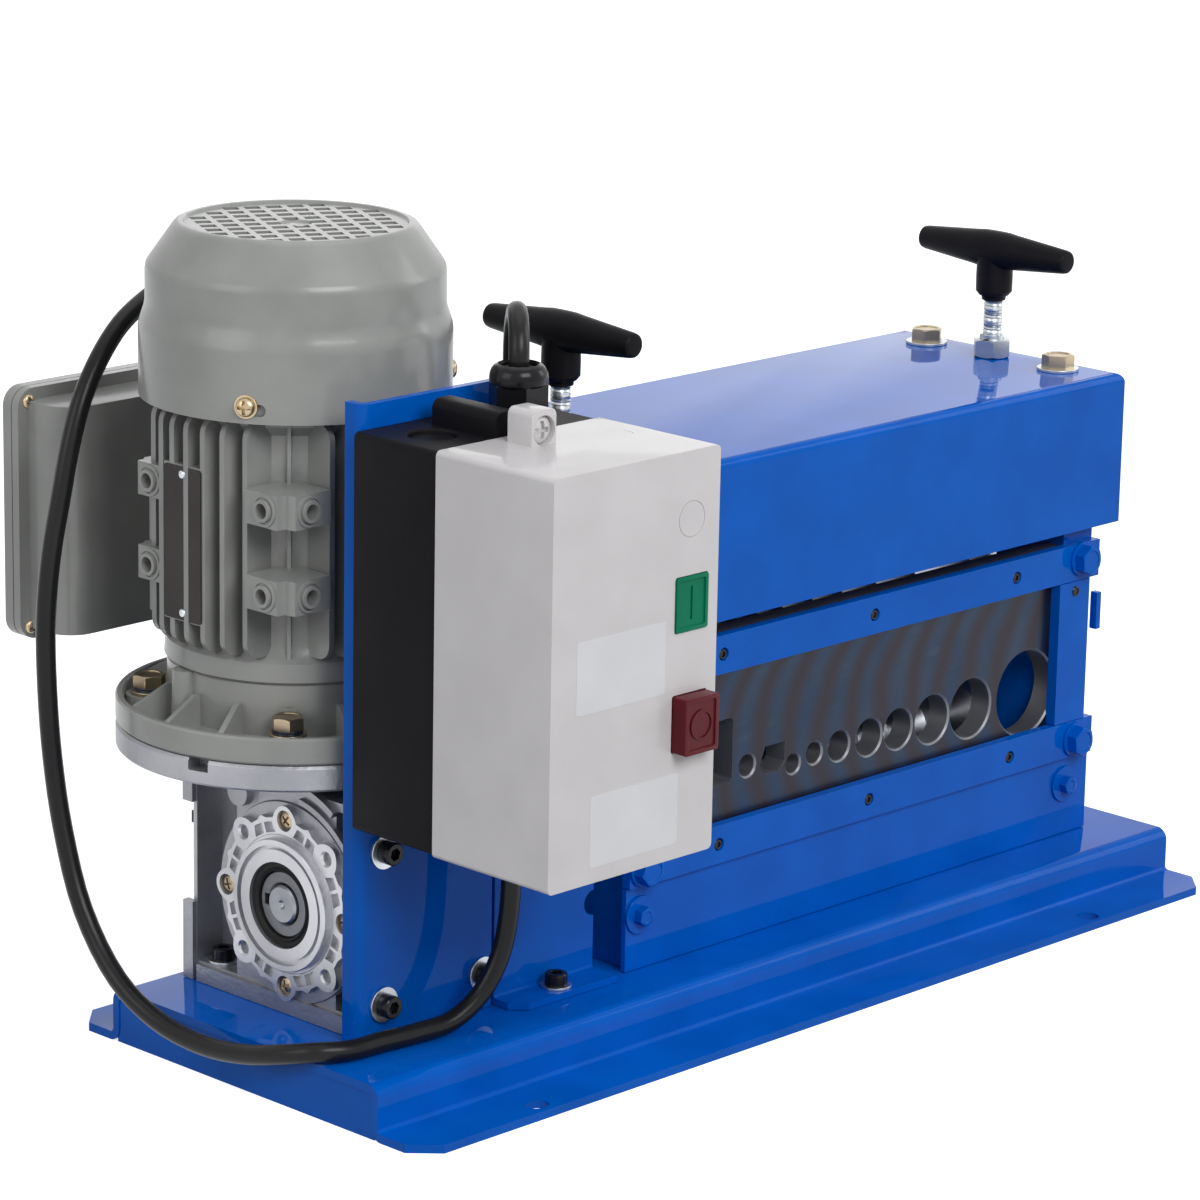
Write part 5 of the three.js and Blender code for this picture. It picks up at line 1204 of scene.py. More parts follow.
bore = lathed(rod(46, FRAME_FOOT - 5, FRAME_TOP + 5), *MOTOR_LINE, 96)
frame_body = carved(frame_body, joined(pad_holes.mesh(), bore))
piece("finned_motor_frame", frame_body, "grey_motor_paint", stands_for=["motor_frame"])

# %% The blank nameplate on its bed
plate_line = rounded((MOTOR_Y - 9.5, MOTOR_Y + 14.5), (202.7, 271.3), 1.5)
plate = pushed(plate_line, "x", (MOTOR_X - 63.9, MOTOR_X - 63.1))
piece("blank_nameplate", plate, "blank_plate", bevel=0.2)

# %% [markdown]
# ## Fan cover
# A pressed steel cup covers the fan. It has a skirt, a soft step, a straight barrel, a cone and a flat top
# with a round dimple and a field of slots. The cup is turned from a smooth section. The slots are a grid
# that ends at a circle, which a node tree lays down, and they are then carved through the top.

# %% Slot tree: a grid of slots, kept only inside a circle and off the dimple
vents_tree, given, out = new_tree(
    "vent_slots", Pitch_Across=16.0, Pitch_Along=13.0, Slot_Length=12.0, Slot_Width=7.0,
    Field_Radius=44.0, Depth=12.0)
GRID = 11
given_of = given.outputs
work_out = calculator(vents_tree)
sizes = {"Vertices X": GRID, "Vertices Y": GRID}
for label, socket in (("Pitch Across", "Size X"), ("Pitch Along", "Size Y")):
    sizes[socket] = work_out("MULTIPLY", given_of[label], GRID - 1.0)
grid = node(vents_tree, "GeometryNodeMeshGrid", sizes)
where = node(vents_tree, "GeometryNodeInputPosition").outputs[0]
distance = node(vents_tree, "ShaderNodeVectorMath", {0: where}, operation="LENGTH").outputs["Value"]
outer_end = work_out("MULTIPLY_ADD", given_of["Slot Length"], 0.5, distance)
dropped = work_out("MAXIMUM", work_out("GREATER_THAN", outer_end, given_of["Field Radius"]),
                   work_out("LESS_THAN", distance, 4.0))
drop_points = node(vents_tree, "GeometryNodeDeleteGeometry",
                   {"Geometry": grid.outputs["Mesh"], "Selection": dropped}, domain="POINT")
slab_size = node(vents_tree, "ShaderNodeCombineXYZ", {
    "X": given_of["Slot Length"], "Y": given_of["Slot Width"], "Z": given_of["Depth"]})
slab = node(vents_tree, "GeometryNodeMeshCube", {"Size": slab_size.outputs[0]})
laid = node(vents_tree, "GeometryNodeInstanceOnPoints",
            {"Points": drop_points.outputs[0], "Instance": slab.outputs["Mesh"]})
end_tree(vents_tree, given, laid.outputs["Instances"], out)

# %% The cup
SKIRT_FOOT, CUP_TOP, DIMPLE_RIM = 296.0, 372.3, 371.2
outside_line = [(69.0, SKIRT_FOOT), (69.0, 325.5), (68.7, 328.0), (67.6, 331.5), (66.4, 335.0),
                (66.0, 338.0), (66.0, 351.0), (65.6, 353.6), (64.6, 355.4), (54.2, 370.2), (53.0, 371.6),
                (51.2, CUP_TOP)]
CUP_SHEET = 1.6
inside_line = [(radius - CUP_SHEET, z - (CUP_SHEET if z > 371 else 0.0)) for radius, z in outside_line]
top_line = [(49.4, CUP_TOP), (48.6, DIMPLE_RIM), (7.2, DIMPLE_RIM), (6.4, 370.3), (0, 370.3)]
under_line = [(0, 368.7), (7.2, 368.7), (8.2, 369.6), (48.4, 369.6)]
cup = lathed(outside_line + top_line + under_line + inside_line[::-1], *MOTOR_LINE, 128)
VENT_PITCH, VENT_TURN = 9.8, -27.5
slots = run_tree(vents_tree, Pitch_Across=VENT_PITCH, Pitch_Along=VENT_PITCH, Slot_Length=7.0,
                 Slot_Width=6.0, Field_Radius=47.4, Depth=9.0, Finish=finishes["grey_motor_paint"])
placed(slots, (*MOTOR_AXIS, 370.5), VENT_TURN)
print("vent slots:", len(slots.polygons) // 6)
SCREW_TURNS, SCREW_Z = (-150, -30, 90), 303.5
slot_line = rounded((-2.0, 8.6), (SCREW_Z - 4.2, SCREW_Z + 1.2), 2.6, 6)
side_slots = [placed(pushed(slot_line, "x", (60, 75)), (*MOTOR_AXIS, 0), degrees)
              for degrees in SCREW_TURNS]
cup = carved(cup, slots, joined(*side_slots))
piece("pressed_fan_cover", cup, "grey_motor_paint", stands_for=["fan_cover"], bevel=0.25)
rear = lathed([(8.4, 296.3), (66.7, 296.3), (66.7, 307.2), (66.0, 308.0), (8.4, 308.0)], *MOTOR_LINE, 96)
piece("motor_rear_bearing_plate", rear, "grey_motor_paint", stands_for=["motor_rear_shield"], bevel=0)

# %% [markdown]
# ## Terminal box
# A painted box sits behind the motor on a neck, closed by a lid on a dark gasket. A box with bevels would
# have the same radius everywhere, so the outline carries the big corner and the bevel only the small ones.

# %% Box, gasket and lid
BOX_LEFT, BOX_RIGHT, BOX_FOOT, BOX_TOP = 22.0, 120.0, 172.0, 278.0
BOX_FRONT, BOX_FACE, BOX_BACK = 195.3, 230.0, 261.3
BOX_TURN, RIM_OUT, ROOM_IN = 14.0, 5.5, 3


def box_line(out, radius):
    """The box's outline, grown by a distance on every side."""
    return rounded((BOX_LEFT - out, BOX_RIGHT + out), (BOX_FOOT - out, BOX_TOP + out), radius)


plan = [(BOX_RIGHT, BOX_FRONT), (78.0, BOX_FRONT), (78.0, BOX_FACE - 4), (74.0, BOX_FACE)]
plan += arc((BOX_LEFT + BOX_TURN, BOX_FACE + BOX_TURN), BOX_TURN, 270, 180, 10) + [
    (BOX_LEFT, BOX_BACK), (BOX_RIGHT, BOX_BACK)]
walls = softened(pushed(plan, "z", (BOX_FOOT, BOX_TOP)), 5.0, 5, 60)
rim = pushed(box_line(RIM_OUT, 9), "y", (BOX_BACK - 4.5, BOX_BACK))
room = pushed(box_line(-ROOM_IN, 13), "y", (BOX_FACE + 9.5, BOX_BACK + 5))
piece("terminal_box_body", carved(welded(walls, rim), room), "grey_motor_paint",
      stands_for=["terminal_box"], bevel=1.6, segments=3)
gasket = pushed(box_line(4.9, 8.4), "y", (BOX_BACK - 0.2, BOX_BACK + 0.8), holes=[box_line(-ROOM_IN, 13)])
piece("terminal_box_gasket", gasket, "gasket", bevel=0)
lid = pushed(box_line(RIM_OUT, 9), "y", (BOX_BACK + 0.6, BOX_BACK + 6.3))
lid_room = pushed(box_line(-ROOM_IN, 13), "y", (BOX_BACK - 5, BOX_BACK + 3.3))
piece("terminal_box_cover_lid", carved(lid, lid_room), "grey_motor_paint",
      stands_for=["terminal_box_lid"], bevel=1.8, segments=4)

# %% [markdown]
# ## Starter bracket and shaft guard
# Both are painted sheet with a bend. The bracket carries the starter, and its left edge is folded back.
# The guard's foot is folded forward and bolted to the deck.

# %% Bracket and guard
BRACKET_FRONT, BRACKET_BACK = 40.7, 44.7
BRACKET_LEFT, BRACKET_RIGHT, BRACKET_TOP = 27.0, 107.0, 311.0
FOLD_OUTER, FOLD_INNER, FOLD_BACK = 6.0, 2.0, 51.7
fold = (BRACKET_LEFT + FOLD_OUTER, BRACKET_FRONT + FOLD_OUTER)
bracket_line = [(BRACKET_RIGHT, BRACKET_FRONT), (BRACKET_RIGHT, BRACKET_BACK)] + arc(
    fold, FOLD_INNER, -90, -180, 5)
bracket_line += [(fold[0] - FOLD_INNER, FOLD_BACK), (BRACKET_LEFT, FOLD_BACK)] + arc(
    fold, FOLD_OUTER, 180, 270, 8)
bracket = pushed(bracket_line, "z", (ON_DECK, BRACKET_TOP))
bracket_holes = Draft()
BRACKET_BOLTS = [(x, z) for x in (41.0, 101.0) for z in (42.0, 112.0)]
for x, z in BRACKET_BOLTS:
    bracket_holes.prism(circle((x, z), 4.3), "y", (30, 60))
piece("folded_starter_bracket", carved(bracket, bracket_holes.mesh()), "blue_gloss_paint",
      stands_for=["starter_bracket"])
GUARD_BACK, GUARD_SHEET = 44.2, 3.2
bend = (GUARD_BACK - GUARD_SHEET - 1.5, ON_DECK + GUARD_SHEET + 1.5)
foot_bend, outer_bend = arc(bend, 1.5, -90, 0, 5), arc(bend, 4.7, 0, -90, 7)
guard_line = [(25.0, ON_DECK), (25.0, ON_DECK + GUARD_SHEET)] + foot_bend
guard_line += [(GUARD_BACK - GUARD_SHEET, 153.3), (GUARD_BACK, 153.3)] + outer_bend
guard = pushed(guard_line, "x", (109, 172))
GUARD_BOLT = (140.5, 33.0)
guard_cuts = Draft().prism(circle(GUARD_BOLT, 4.0), "z", (20, 35))
guard_cuts.prism(circle((172, 59.3), 6.0), "y", (35, 50))
guard_cuts.prism([(103, 20), (121, 20), (103, 38)], "z", (20, 29.5))
piece("folded_shaft_guard", carved(guard, guard_cuts.mesh()), "blue_gloss_paint",
      stands_for=["shaft_guard"], bevel=0.4)

# %% [markdown]
# ## Starter housing
# The black base is a moulded tray with a rib beside the cable gland and a round knockout that is left
# closed. The light cover stands against it. One screw in a little tower holds the cover.

# %% Black base
LEFT, RIGHT, FOOT, TOP = 22.0, 119.0, 125.5, 300.5
SPLIT, BACK = -9.6, 40.4
WALL = 2.6
tray = softened(pushed(rounded((LEFT, RIGHT), (FOOT, TOP), 2.5), "y", (SPLIT, BACK)), 1.2, 3)
rib_line = rounded((56, 70), (TOP - 6, TOP + 11.4), 4.2, 6)
rib = softened(pushed(rib_line, "y", (SPLIT + 0.1, BACK - 11.5)), 3.0, 4, 60)
tray_room = boxed((LEFT + WALL, RIGHT - WALL), (SPLIT - 5, BACK - WALL), (FOOT + WALL, TOP - WALL))
knock_out = (43.5, 15.4)
tray_cuts = lathed(from_base(TOP, [(0, -2.0), (9.6, -2.0), (9.6, -2.3), (10.4, -2.3), (10.6, -0.8),
                                   (11.5, 0), (11.5, 4), (0, 4)]), "z", knock_out, 64)
tray = carved(welded(tray, rib), joined(tray_room, tray_cuts))
piece("black_starter_tray", tray, "black_moulded", stands_for=["starter_base"], bevel=0.3)

# %% Light cover: soft outside, then the room, the windows, and the moulded circle and crescent
COVER_LEFT, COVER_RIGHT, COVER_FOOT, COVER_HEAD = 21.2, 119.8, 124.7, 301.3
COVER_FRONT, COVER_BACK = -78.9, -9.9
cover_line = rounded((COVER_LEFT, COVER_RIGHT), (COVER_FOOT, COVER_HEAD), 2.6, 8)
cover = softened(pushed(cover_line, "y", (COVER_FRONT, COVER_BACK + 4)), 1.7, 5)
BOSS_LEFT, BOSS_RIGHT, BOSS_NEAR, BOSS_FAR = 55.3, 69.7, -31.6, -17.3
boss_line = rounded((BOSS_LEFT, BOSS_RIGHT), (COVER_HEAD - 8, 316.3), 3.2, 6)
boss = softened(pushed(boss_line, "y", (BOSS_NEAR, BOSS_FAR)), 1.0, 4)
cover = welded(cover, boss)
room = boxed((COVER_LEFT + WALL, COVER_RIGHT - WALL), (COVER_FRONT + WALL, COVER_BACK + 9),
             (COVER_FOOT + WALL, COVER_HEAD - WALL))
trim = boxed((COVER_LEFT - 9, COVER_RIGHT + 9), (COVER_BACK, COVER_BACK + 20),
             (COVER_FOOT - 9, COVER_HEAD + 30))
BUTTON_X, START_Z, STOP_Z = 103.8, 235.6, 184.1
START_SIZE, STOP_SIZE = (19.2, 23.6), (20.4, 24.6)
cuts = Draft()
for (width, height), z in ((START_SIZE, START_Z), (STOP_SIZE, STOP_Z)):
    across, up = width / 2 + 0.35, height / 2 + 0.35
    cuts.prism(rounded((BUTTON_X - across, BUTTON_X + across), (z - up, z + up), 1.2, 4), "y",
               (COVER_FRONT - 5, COVER_FRONT + 8))
SCREW_SPOT = (62.5, 307.4)
cuts.turned(rod(6.5, BOSS_NEAR - 3, BOSS_NEAR + 3.2, 6.3), "y", SCREW_SPOT, 48)
moulded = Draft().turned(from_base(COVER_FRONT, [(7.4, -1), (8.0, -1), (7.8, 0.35), (7.6, 0.35)]),
                         "y", (103.1, 271.8), 96)
crescent = arc((97.5, -36.5), 10.4, -28, 66, 16) + arc((97.9, -36.0), 9.7, 60, -22, 14)
moulded.prism(crescent, "z", (COVER_HEAD - 0.5, COVER_HEAD + 2))
cover = carved(cover, room, trim, cuts.mesh(), moulded.mesh())
piece("light_starter_cover", cover, "light_moulded", stands_for=["starter_cover"], bevel=0.25)

# %% Buttons: a raised rim round a lower face, an upright bar on the green one, a plain ring on the red one
def push_button(width, height, stand, z, rim):
    outline = rounded((BUTTON_X - width / 2, BUTTON_X + width / 2),
                      (z - height / 2, z + height / 2), 1.0, 4)
    body = softened(pushed(outline, "y", (COVER_FRONT - stand, COVER_FRONT + WALL + 0.6)), 0.5, 3, 60)
    stem = boxed((BUTTON_X - 5, BUTTON_X + 5), (COVER_FRONT + WALL, COVER_FRONT + WALL + 12),
                 (z - 5, z + 5))
    face = Draft().prism(rounded((BUTTON_X - width / 2 + rim, BUTTON_X + width / 2 - rim),
                                 (z - height / 2 + rim, z + height / 2 - rim), 0.8, 3), "y",
                         (COVER_FRONT - stand - 3, COVER_FRONT - stand + 0.75))
    return welded(body, stem), face


start, start_face = push_button(*START_SIZE, 0.8, START_Z, 1.7)
start_face.block((BUTTON_X - 0.65, BUTTON_X + 0.65), (COVER_FRONT - 2, COVER_FRONT + 0.7),
                 (START_Z - 7.2, START_Z + 7.2))
piece("green_start_button", carved(start, start_face.mesh()), "green_moulded", body="start",
      stands_for=["start_button"], bevel=0.15)
stop, stop_face = push_button(*STOP_SIZE, 8.0, STOP_Z, 2.0)
ring = lathed(from_base(COVER_FRONT, [(5.6, -7.4), (6.7, -7.4), (6.6, -7.9), (5.7, -7.9)]),
              "y", (BUTTON_X, STOP_Z), 64)
stop = welded(carved(stop, stop_face.mesh()), ring)
piece("red_stop_button", stop, "red_moulded", body="stop", stands_for=["stop_button"], bevel=0.15)

# %% Cover screw and two blank labels
screw = cross_head(6.1, 2.4, arm=0.62, slot_width=0.36)
piece("cover_screw", placed(screw, (SCREW_SPOT[0], BOSS_NEAR + 3.2, SCREW_SPOT[1]), 90, "X"),
      "light_moulded", bevel=0.1)
for name, us, vs in (("upper_blank_label", (36.0, 88.6), (198.7, 230.3)),
                     ("lower_blank_label", (45.3, 98.0), (131.6, 162.6))):
    label = pushed(rounded(us, vs, 1.2, 4), "y", (COVER_FRONT - 0.12, COVER_FRONT + 0.1))
    piece(name, label, "blank_label", bevel=0)

# %% [markdown]
# ## Cable glands
# A gland is a hexagon body, a domed nut and a rubber sleeve that grips the cord. It is a turned section
# except for the hexagon, whose corners are turned off at the top as on a real nut.

# %% One gland, then three places for it
def gland_parts():
    hexed = pushed(hexagon(22.9), "z", (0.3, 14.8))
    cone = lathed([(0, 0), (16, 0), (16, 12.4), (12.4, 14.8), (0, 14.8)], sides=64)
    nut = combine(hexed, [cone], "INTERSECT")
    dome = [(0, 14.0), (12.0, 14.0), (12.7, 14.8), (12.7, 17.0)]
    dome += [(9.0 + 3.7 * math.cos(math.radians(a)), 17.0 + 5.8 * math.sin(math.radians(a)))
             for a in (20, 40, 60, 78)]
    dome += [(9.0, 23.0), (7.6, 22.3), (7.2, 19.5), (0, 19.5)]
    nut = welded(nut, lathed(dome, sides=64))
    grip = [(4.75, 19.3), (7.1, 19.3), (7.1, 20.6), (6.4, 21.3), (5.2, 21.3), (4.75, 20.9)]
    return carved(nut, lathed(rod(4.9, -2, 30), sides=48)), lathed(grip, sides=48)


GLANDS = (
    ("mains", (96.0, 17.4, 300.5), False), ("starter_lead", (96.0, 17.4, 125.5), True),
    ("motor_lead", (91.0, 226.3, 278.0), False),
)
for name, place, hangs in GLANDS:
    nut, sleeve = (placed(mesh, place, 180 if hangs else 0, "X") for mesh in gland_parts())
    piece(name + "_gland_nut", nut, "black_gloss", stands_for=[name + "_gland"], bevel=0.35)
    piece(name + "_gland_sleeve", sleeve, "seal_rubber", bevel=0)

# %% [markdown]
# ## Side plates, rails and panels
# Two thick plates stand on the deck and carry everything that turns. Two rails and two panels tie them
# together. The parts are flat, so each is an outline pushed to its thickness, with its holes in it.

# %% Side plates with the slot for the blade block, the bearing's bore and the front posts
PLATE_FRONT, PLATE_BACK, PLATE_FOOT, PLATE_TOP = 34.3, 158.0, ON_DECK, 254.7
BLADE_Z = 142.3
RAIL_FRONT, RAIL_BACK = 28.7, 34.0
RAIL_LEFT, RAIL_RIGHT = 183.0, 515.0
BOTTOM_RAIL, TOP_RAIL = (65.3, 83.8), (156.3, 174.8)
SIDES = (("left", (188.0, 210.0), (195.0, 218.0)), ("right", (493.0, 515.0), (485.0, 508.0)))
for side, xs, post_xs in SIDES:
    outline = rounded((PLATE_FRONT, PLATE_BACK), (PLATE_FOOT, PLATE_TOP), 2.0, 3)
    slot = rounded((DRIVE_Y - 17.3, DRIVE_Y + 17.3), (117.0, 173.6), 1.0, 2)
    bore = circle(DRIVE_POINT, 16.0, 64)
    plate = pushed(outline, "x", xs, holes=[slot, bore])
    post = boxed(post_xs, (RAIL_FRONT, PLATE_FRONT + 0.3), (BOTTOM_RAIL[1] + 0.3, TOP_RAIL[0] - 0.3))
    screw_way = pushed(circle((sum(xs) / 2, DRIVE_Y), 5.6, 32), "z", (BLADE_Z, PLATE_TOP + 5))
    plate = carved(welded(plate, post), screw_way)
    piece("painted_side_plate_" + side, plate, "blue_gloss_paint", stands_for=["side_plate_" + side])

# %% Rails, panels and a small tab
RAIL_SCREWS = [(x, z) for x in (242.0, 346.7, 451.3) for z in (74.5, 165.5)]
for name, zs in (("bottom_rail", BOTTOM_RAIL), ("top_rail", TOP_RAIL)):
    rail = boxed((RAIL_LEFT, RAIL_RIGHT), (RAIL_FRONT, RAIL_BACK), zs)
    sunk = Draft()
    for x, z in RAIL_SCREWS:
        if zs[0] < z < zs[1]:
            sunk.turned(rod(3.0, RAIL_FRONT - 2, RAIL_FRONT + 1.8), "y", (x, z), 32)
    piece("painted_" + name, carved(rail, sunk.mesh()), "blue_gloss_paint", stands_for=[name])
FRONT_FACE, REAR_FACE = 31.0, 161.3
front = boxed((RAIL_LEFT, RAIL_RIGHT), (FRONT_FACE, RAIL_BACK), (ON_DECK, 65.0))
piece("painted_front_panel", front, "blue_gloss_paint", stands_for=["front_panel"], bevel=0.4)
rear = boxed((188.0, RAIL_RIGHT), (PLATE_BACK + 0.3, REAR_FACE), (ON_DECK, 81.3))
piece("painted_rear_panel", rear, "blue_gloss_paint", stands_for=["rear_panel"], bevel=0.4)
tab = boxed((RAIL_RIGHT, RAIL_RIGHT + 3.6), (29.2, 33.6), (128.0, 147.0))
piece("painted_side_tab", tab, "blue_gloss_paint")

# %% [markdown]
# ## Guide plate
# The plate was faced by a big cutter, which left a row of broad arcs, and oiled dark. The arcs could be
# painted, but they follow a rule: circles of one size, stepped along the plate. A few Math nodes on Object
# coordinates draw them. The arcs are real marks, but the warm dark colour of their stripes is painted
# sheen, and the plate's blue-grey tone is partly a painted reflection of the blue paint around it.

# %% A finish for the faced plate: oiled steel, with painted sheen along the arcs and a painted blue reflection
faced, f_in, f_out = effect(
    "faced_arcs_and_sheen",
    [("Cutter Radius", "NodeSocketFloat", 0.058), ("Step", "NodeSocketFloat", 0.0215),
     ("Middle", "NodeSocketFloat", 0.112)],
    [("Share", "NodeSocketFloat")],
)
place = node(faced, "ShaderNodeTexCoord").outputs["Object"]
parts = node(faced, "ShaderNodeSeparateXYZ", {0: place})
shake = node(faced, "ShaderNodeTexNoise", {"Vector": place, "Scale": 22.0})
work_out = calculator(faced)
above = work_out("SUBTRACT", parts.outputs["Z"], f_in.outputs["Middle"])
radius_square = work_out("POWER", f_in.outputs["Cutter Radius"], 2.0)
inside = work_out("SUBTRACT", radius_square, work_out("MULTIPLY", above, above))
along = work_out("ADD", parts.outputs["X"], work_out("SQRT", work_out("MAXIMUM", inside, 0.0)))
shaken = work_out("MULTIPLY_ADD", shake.outputs["Fac"], 0.014, along)
wave = work_out("SINE", work_out("MULTIPLY", work_out("DIVIDE", shaken, f_in.outputs["Step"]), 2 * math.pi))
share = node(faced, "ShaderNodeMapRange", {"Value": wave, "From Min": -1.0, "From Max": 0.9})
faced.links.new(share.outputs["Result"], f_out.inputs["Share"])

# Dark oiled steel; its blue-grey tone is partly a painted reflection of the blue paint around it.
plate_finish = finish("faced_plate", (0.020, 0.036, 0.068), (0.028, 0.044, 0.072), 0.3, metal=0.8,
                      shine=0.2, grain=420, bump=0.05, scuff=0.9, worn=(0.05, 0.066, 0.09), scratch=24)
tree = plate_finish.node_tree
shader = tree.nodes["Principled BSDF"]
arcs = node(tree, "ShaderNodeGroup", node_tree=faced)
# The warm dark colour mixed in along the cutter's arcs is painted sheen; the arcs themselves are real.
arc_sheen_bands = node(tree, "ShaderNodeMix", {
    "Factor": arcs.outputs["Share"], "A": shader.inputs["Base Color"].links[0].from_socket,
    "B": (0.031, 0.028, 0.035, 1.0)}, data_type="RGBA")
tree.links.new(arc_sheen_bands.outputs["Result"], shader.inputs["Base Color"])

# %% Plate with its channels; each mouth has a small chamfer
GUIDE_LEFT, GUIDE_RIGHT = 210.3, 492.7
GUIDE_FRONT, GUIDE_BACK = 34.3, 46.3
GUIDE_FOOT, GUIDE_TOP, CHANNEL_Z = 66.1, 173.8, 103.3
ROUND_CHANNELS = ((10.4, 3.2, 0.197), (9.3, -2.3, 0.31), (10.4, 0.0, 0.362), (14.5, 0.0, 0.424),
                  (18.0, 0.0, 0.5), (19.8, 0.0, 0.575), (24.0, 0.0, 0.663), (29.5, 0.0, 0.765),
                  (42.5, 0.0, 0.912))
FLAT_SHARE, FLAT_LIFT = 0.257, 3.2
SLOT_SHARE, SLOT_LIFT = 0.137, 13.0


def channel_x(share):
    return GUIDE_LEFT + share * (GUIDE_RIGHT - GUIDE_LEFT)


guide = boxed((GUIDE_LEFT, GUIDE_RIGHT), (GUIDE_FRONT, GUIDE_BACK), (GUIDE_FOOT, GUIDE_TOP))
channels = Draft()
for bore, lift, share in ROUND_CHANNELS:
    r = bore / 2
    mouth = [(0, GUIDE_FRONT - 2), (r + 0.9, GUIDE_FRONT - 2), (r + 0.9, GUIDE_FRONT),
             (r, GUIDE_FRONT + 0.9), (r, GUIDE_BACK + 3), (0, GUIDE_BACK + 3)]
    channels.turned(mouth, "y", (channel_x(share), CHANNEL_Z + lift), 72)
flat_x, flat_z = channel_x(FLAT_SHARE), CHANNEL_Z + FLAT_LIFT
flat = [(flat_x - 4.8, flat_z - 6.75), (flat_x + 4.8, flat_z - 6.75), (flat_x + 8.8, flat_z - 2.75),
        (flat_x + 8.8, flat_z + 6.75), (flat_x - 4.8, flat_z + 6.75), (flat_x - 8.8, flat_z - 2.75)]
channels.prism(flat, "y", (GUIDE_FRONT - 2, GUIDE_BACK + 3))
slot_x, slot_z = channel_x(SLOT_SHARE), CHANNEL_Z + SLOT_LIFT
channels.prism(rounded((slot_x - 6.5, slot_x + 6.5), (slot_z - 15.5, slot_z + 15.5), 2.2, 5), "y",
               (GUIDE_FRONT - 2, GUIDE_BACK + 3))
guide_plate = piece("faced_guide_plate", carved(guide, channels.mesh()), "faced_plate",
                    stands_for=["guide_plate"], bevel=0.35)
guide_plate.data.materials.append(finishes["bored_steel"])
for polygon in guide_plate.data.polygons:
    polygon.material_index = 1 if abs(polygon.normal.y) < 0.95 else 0

# %% [markdown]
# ## Roller, blades, shafts and bearings
# The roller has one V groove under each channel, so its section follows the channels' places. The blades
# are all alike and sit over the channels, so one disc is copied by the same node tree as the bolts.

# %% Grooved roller
places_along = sorted([(share, bore / 2, lift) for bore, lift, share in ROUND_CHANNELS]
                      + [(FLAT_SHARE, 6.75, FLAT_LIFT)])
ROLLER_RADIUS, ROLLER_CORE, ROLLER_LEFT, ROLLER_RIGHT = 21.5, 11.5, 214.0, 489.0
section = [(9.4, ROLLER_LEFT), (ROLLER_RADIUS - 0.6, ROLLER_LEFT), (ROLLER_RADIUS, ROLLER_LEFT + 0.6)]
for i, (share, half, lift) in enumerate(places_along):
    middle = channel_x(share)
    before = ROLLER_LEFT if i == 0 else channel_x(places_along[i - 1][0])
    after = ROLLER_RIGHT if i == len(places_along) - 1 else channel_x(places_along[i + 1][0])
    reach = min(half, (middle - before) / 2, (after - middle) / 2) - 0.6
    floor_radius = min(ROLLER_RADIUS - 0.3, max(ROLLER_CORE, CHANNEL_Z + lift - half - DRIVE_Z))
    section += [(ROLLER_RADIUS, middle - reach), (floor_radius, middle - 0.4), (floor_radius, middle + 0.4),
                (ROLLER_RADIUS, middle + reach)]
section += [(ROLLER_RADIUS, ROLLER_RIGHT - 0.6), (ROLLER_RADIUS - 0.6, ROLLER_RIGHT), (9.4, ROLLER_RIGHT)]
roller = lathed(section, *DRIVE_LINE, 128)
piece("grooved_feed_roller", roller, "machined_steel", body="feed_drive",
      stands_for=["feed_roller"], bevel=0.15)

# %% Blades and their shaft
disc = [(9.6, -1.7), (23.0, -1.7), (29.9, -0.25), (30.0, 0.0), (29.9, 0.25), (23.0, 1.7), (9.6, 1.7)]
blade = lathed(disc, sides=128)
blade_spots = [(channel_x(share), DRIVE_Y, BLADE_Z, "+x", 0) for share, _, _ in places_along]
blades = fasteners("ground_round_blades", blade, blade_spots, "blade_steel", body="blade_spindle", bevel=0)
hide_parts(*("blade_" + str(k + 1) for k in range(len(blade_spots))))
shaft = [(0, 189.1), (1.2, 188.3), (8.2, 188.3), (9.0, 189.1), (9.0, 513.9), (8.2, 514.7), (1.2, 514.7),
         (0, 513.9)]
piece("ground_blade_shaft", lathed(shaft, "x", (DRIVE_Y, BLADE_Z), 72), "machined_steel",
      body="blade_spindle", stands_for=["blade_shaft"], bevel=0)

# %% Bearings and sliding blocks
for side, (near, far), _ in SIDES:
    near, far = near + 0.3, far - 0.3
    race = [(9.2, near + 0.5), (9.7, near), (11.4, near), (11.6, near + 0.8), (13.6, near + 0.8),
            (13.8, near), (15.2, near), (15.7, near + 0.5), (15.7, far - 0.5), (15.2, far), (13.8, far),
            (13.6, far - 0.8), (11.6, far - 0.8), (11.4, far), (9.7, far), (9.2, far - 0.5)]
    piece("feed_ball_bearing_" + side, lathed(race, *DRIVE_LINE, 72), "machined_steel",
          stands_for=["feed_bearing_" + side], bevel=0)
    block_body = boxed((near, far), (DRIVE_Y - 17, DRIVE_Y + 17), (BLADE_Z - 17, BLADE_Z + 17))
    bores = pushed(circle((DRIVE_Y, BLADE_Z), 9.2, 64), "x", (near - 5, far + 5))
    socket = pushed(circle(((near + far) / 2, DRIVE_Y), 5.35, 32), "z", (BLADE_Z + 9, BLADE_Z + 25))
    piece("sliding_blade_block_" + side, carved(block_body, bores, socket), "machined_steel",
          body="blade_carriage", stands_for=["blade_block_" + side], bevel=0.6)

# %% [markdown]
# ## Top cover
# The cover is one sheet folded down on all sides. Its bends could be bevelled, but a sheet has the same
# thickness round a bend, so the section is drawn with an inner and an outer arc. A second outline, seen
# from the front, rounds the ends.

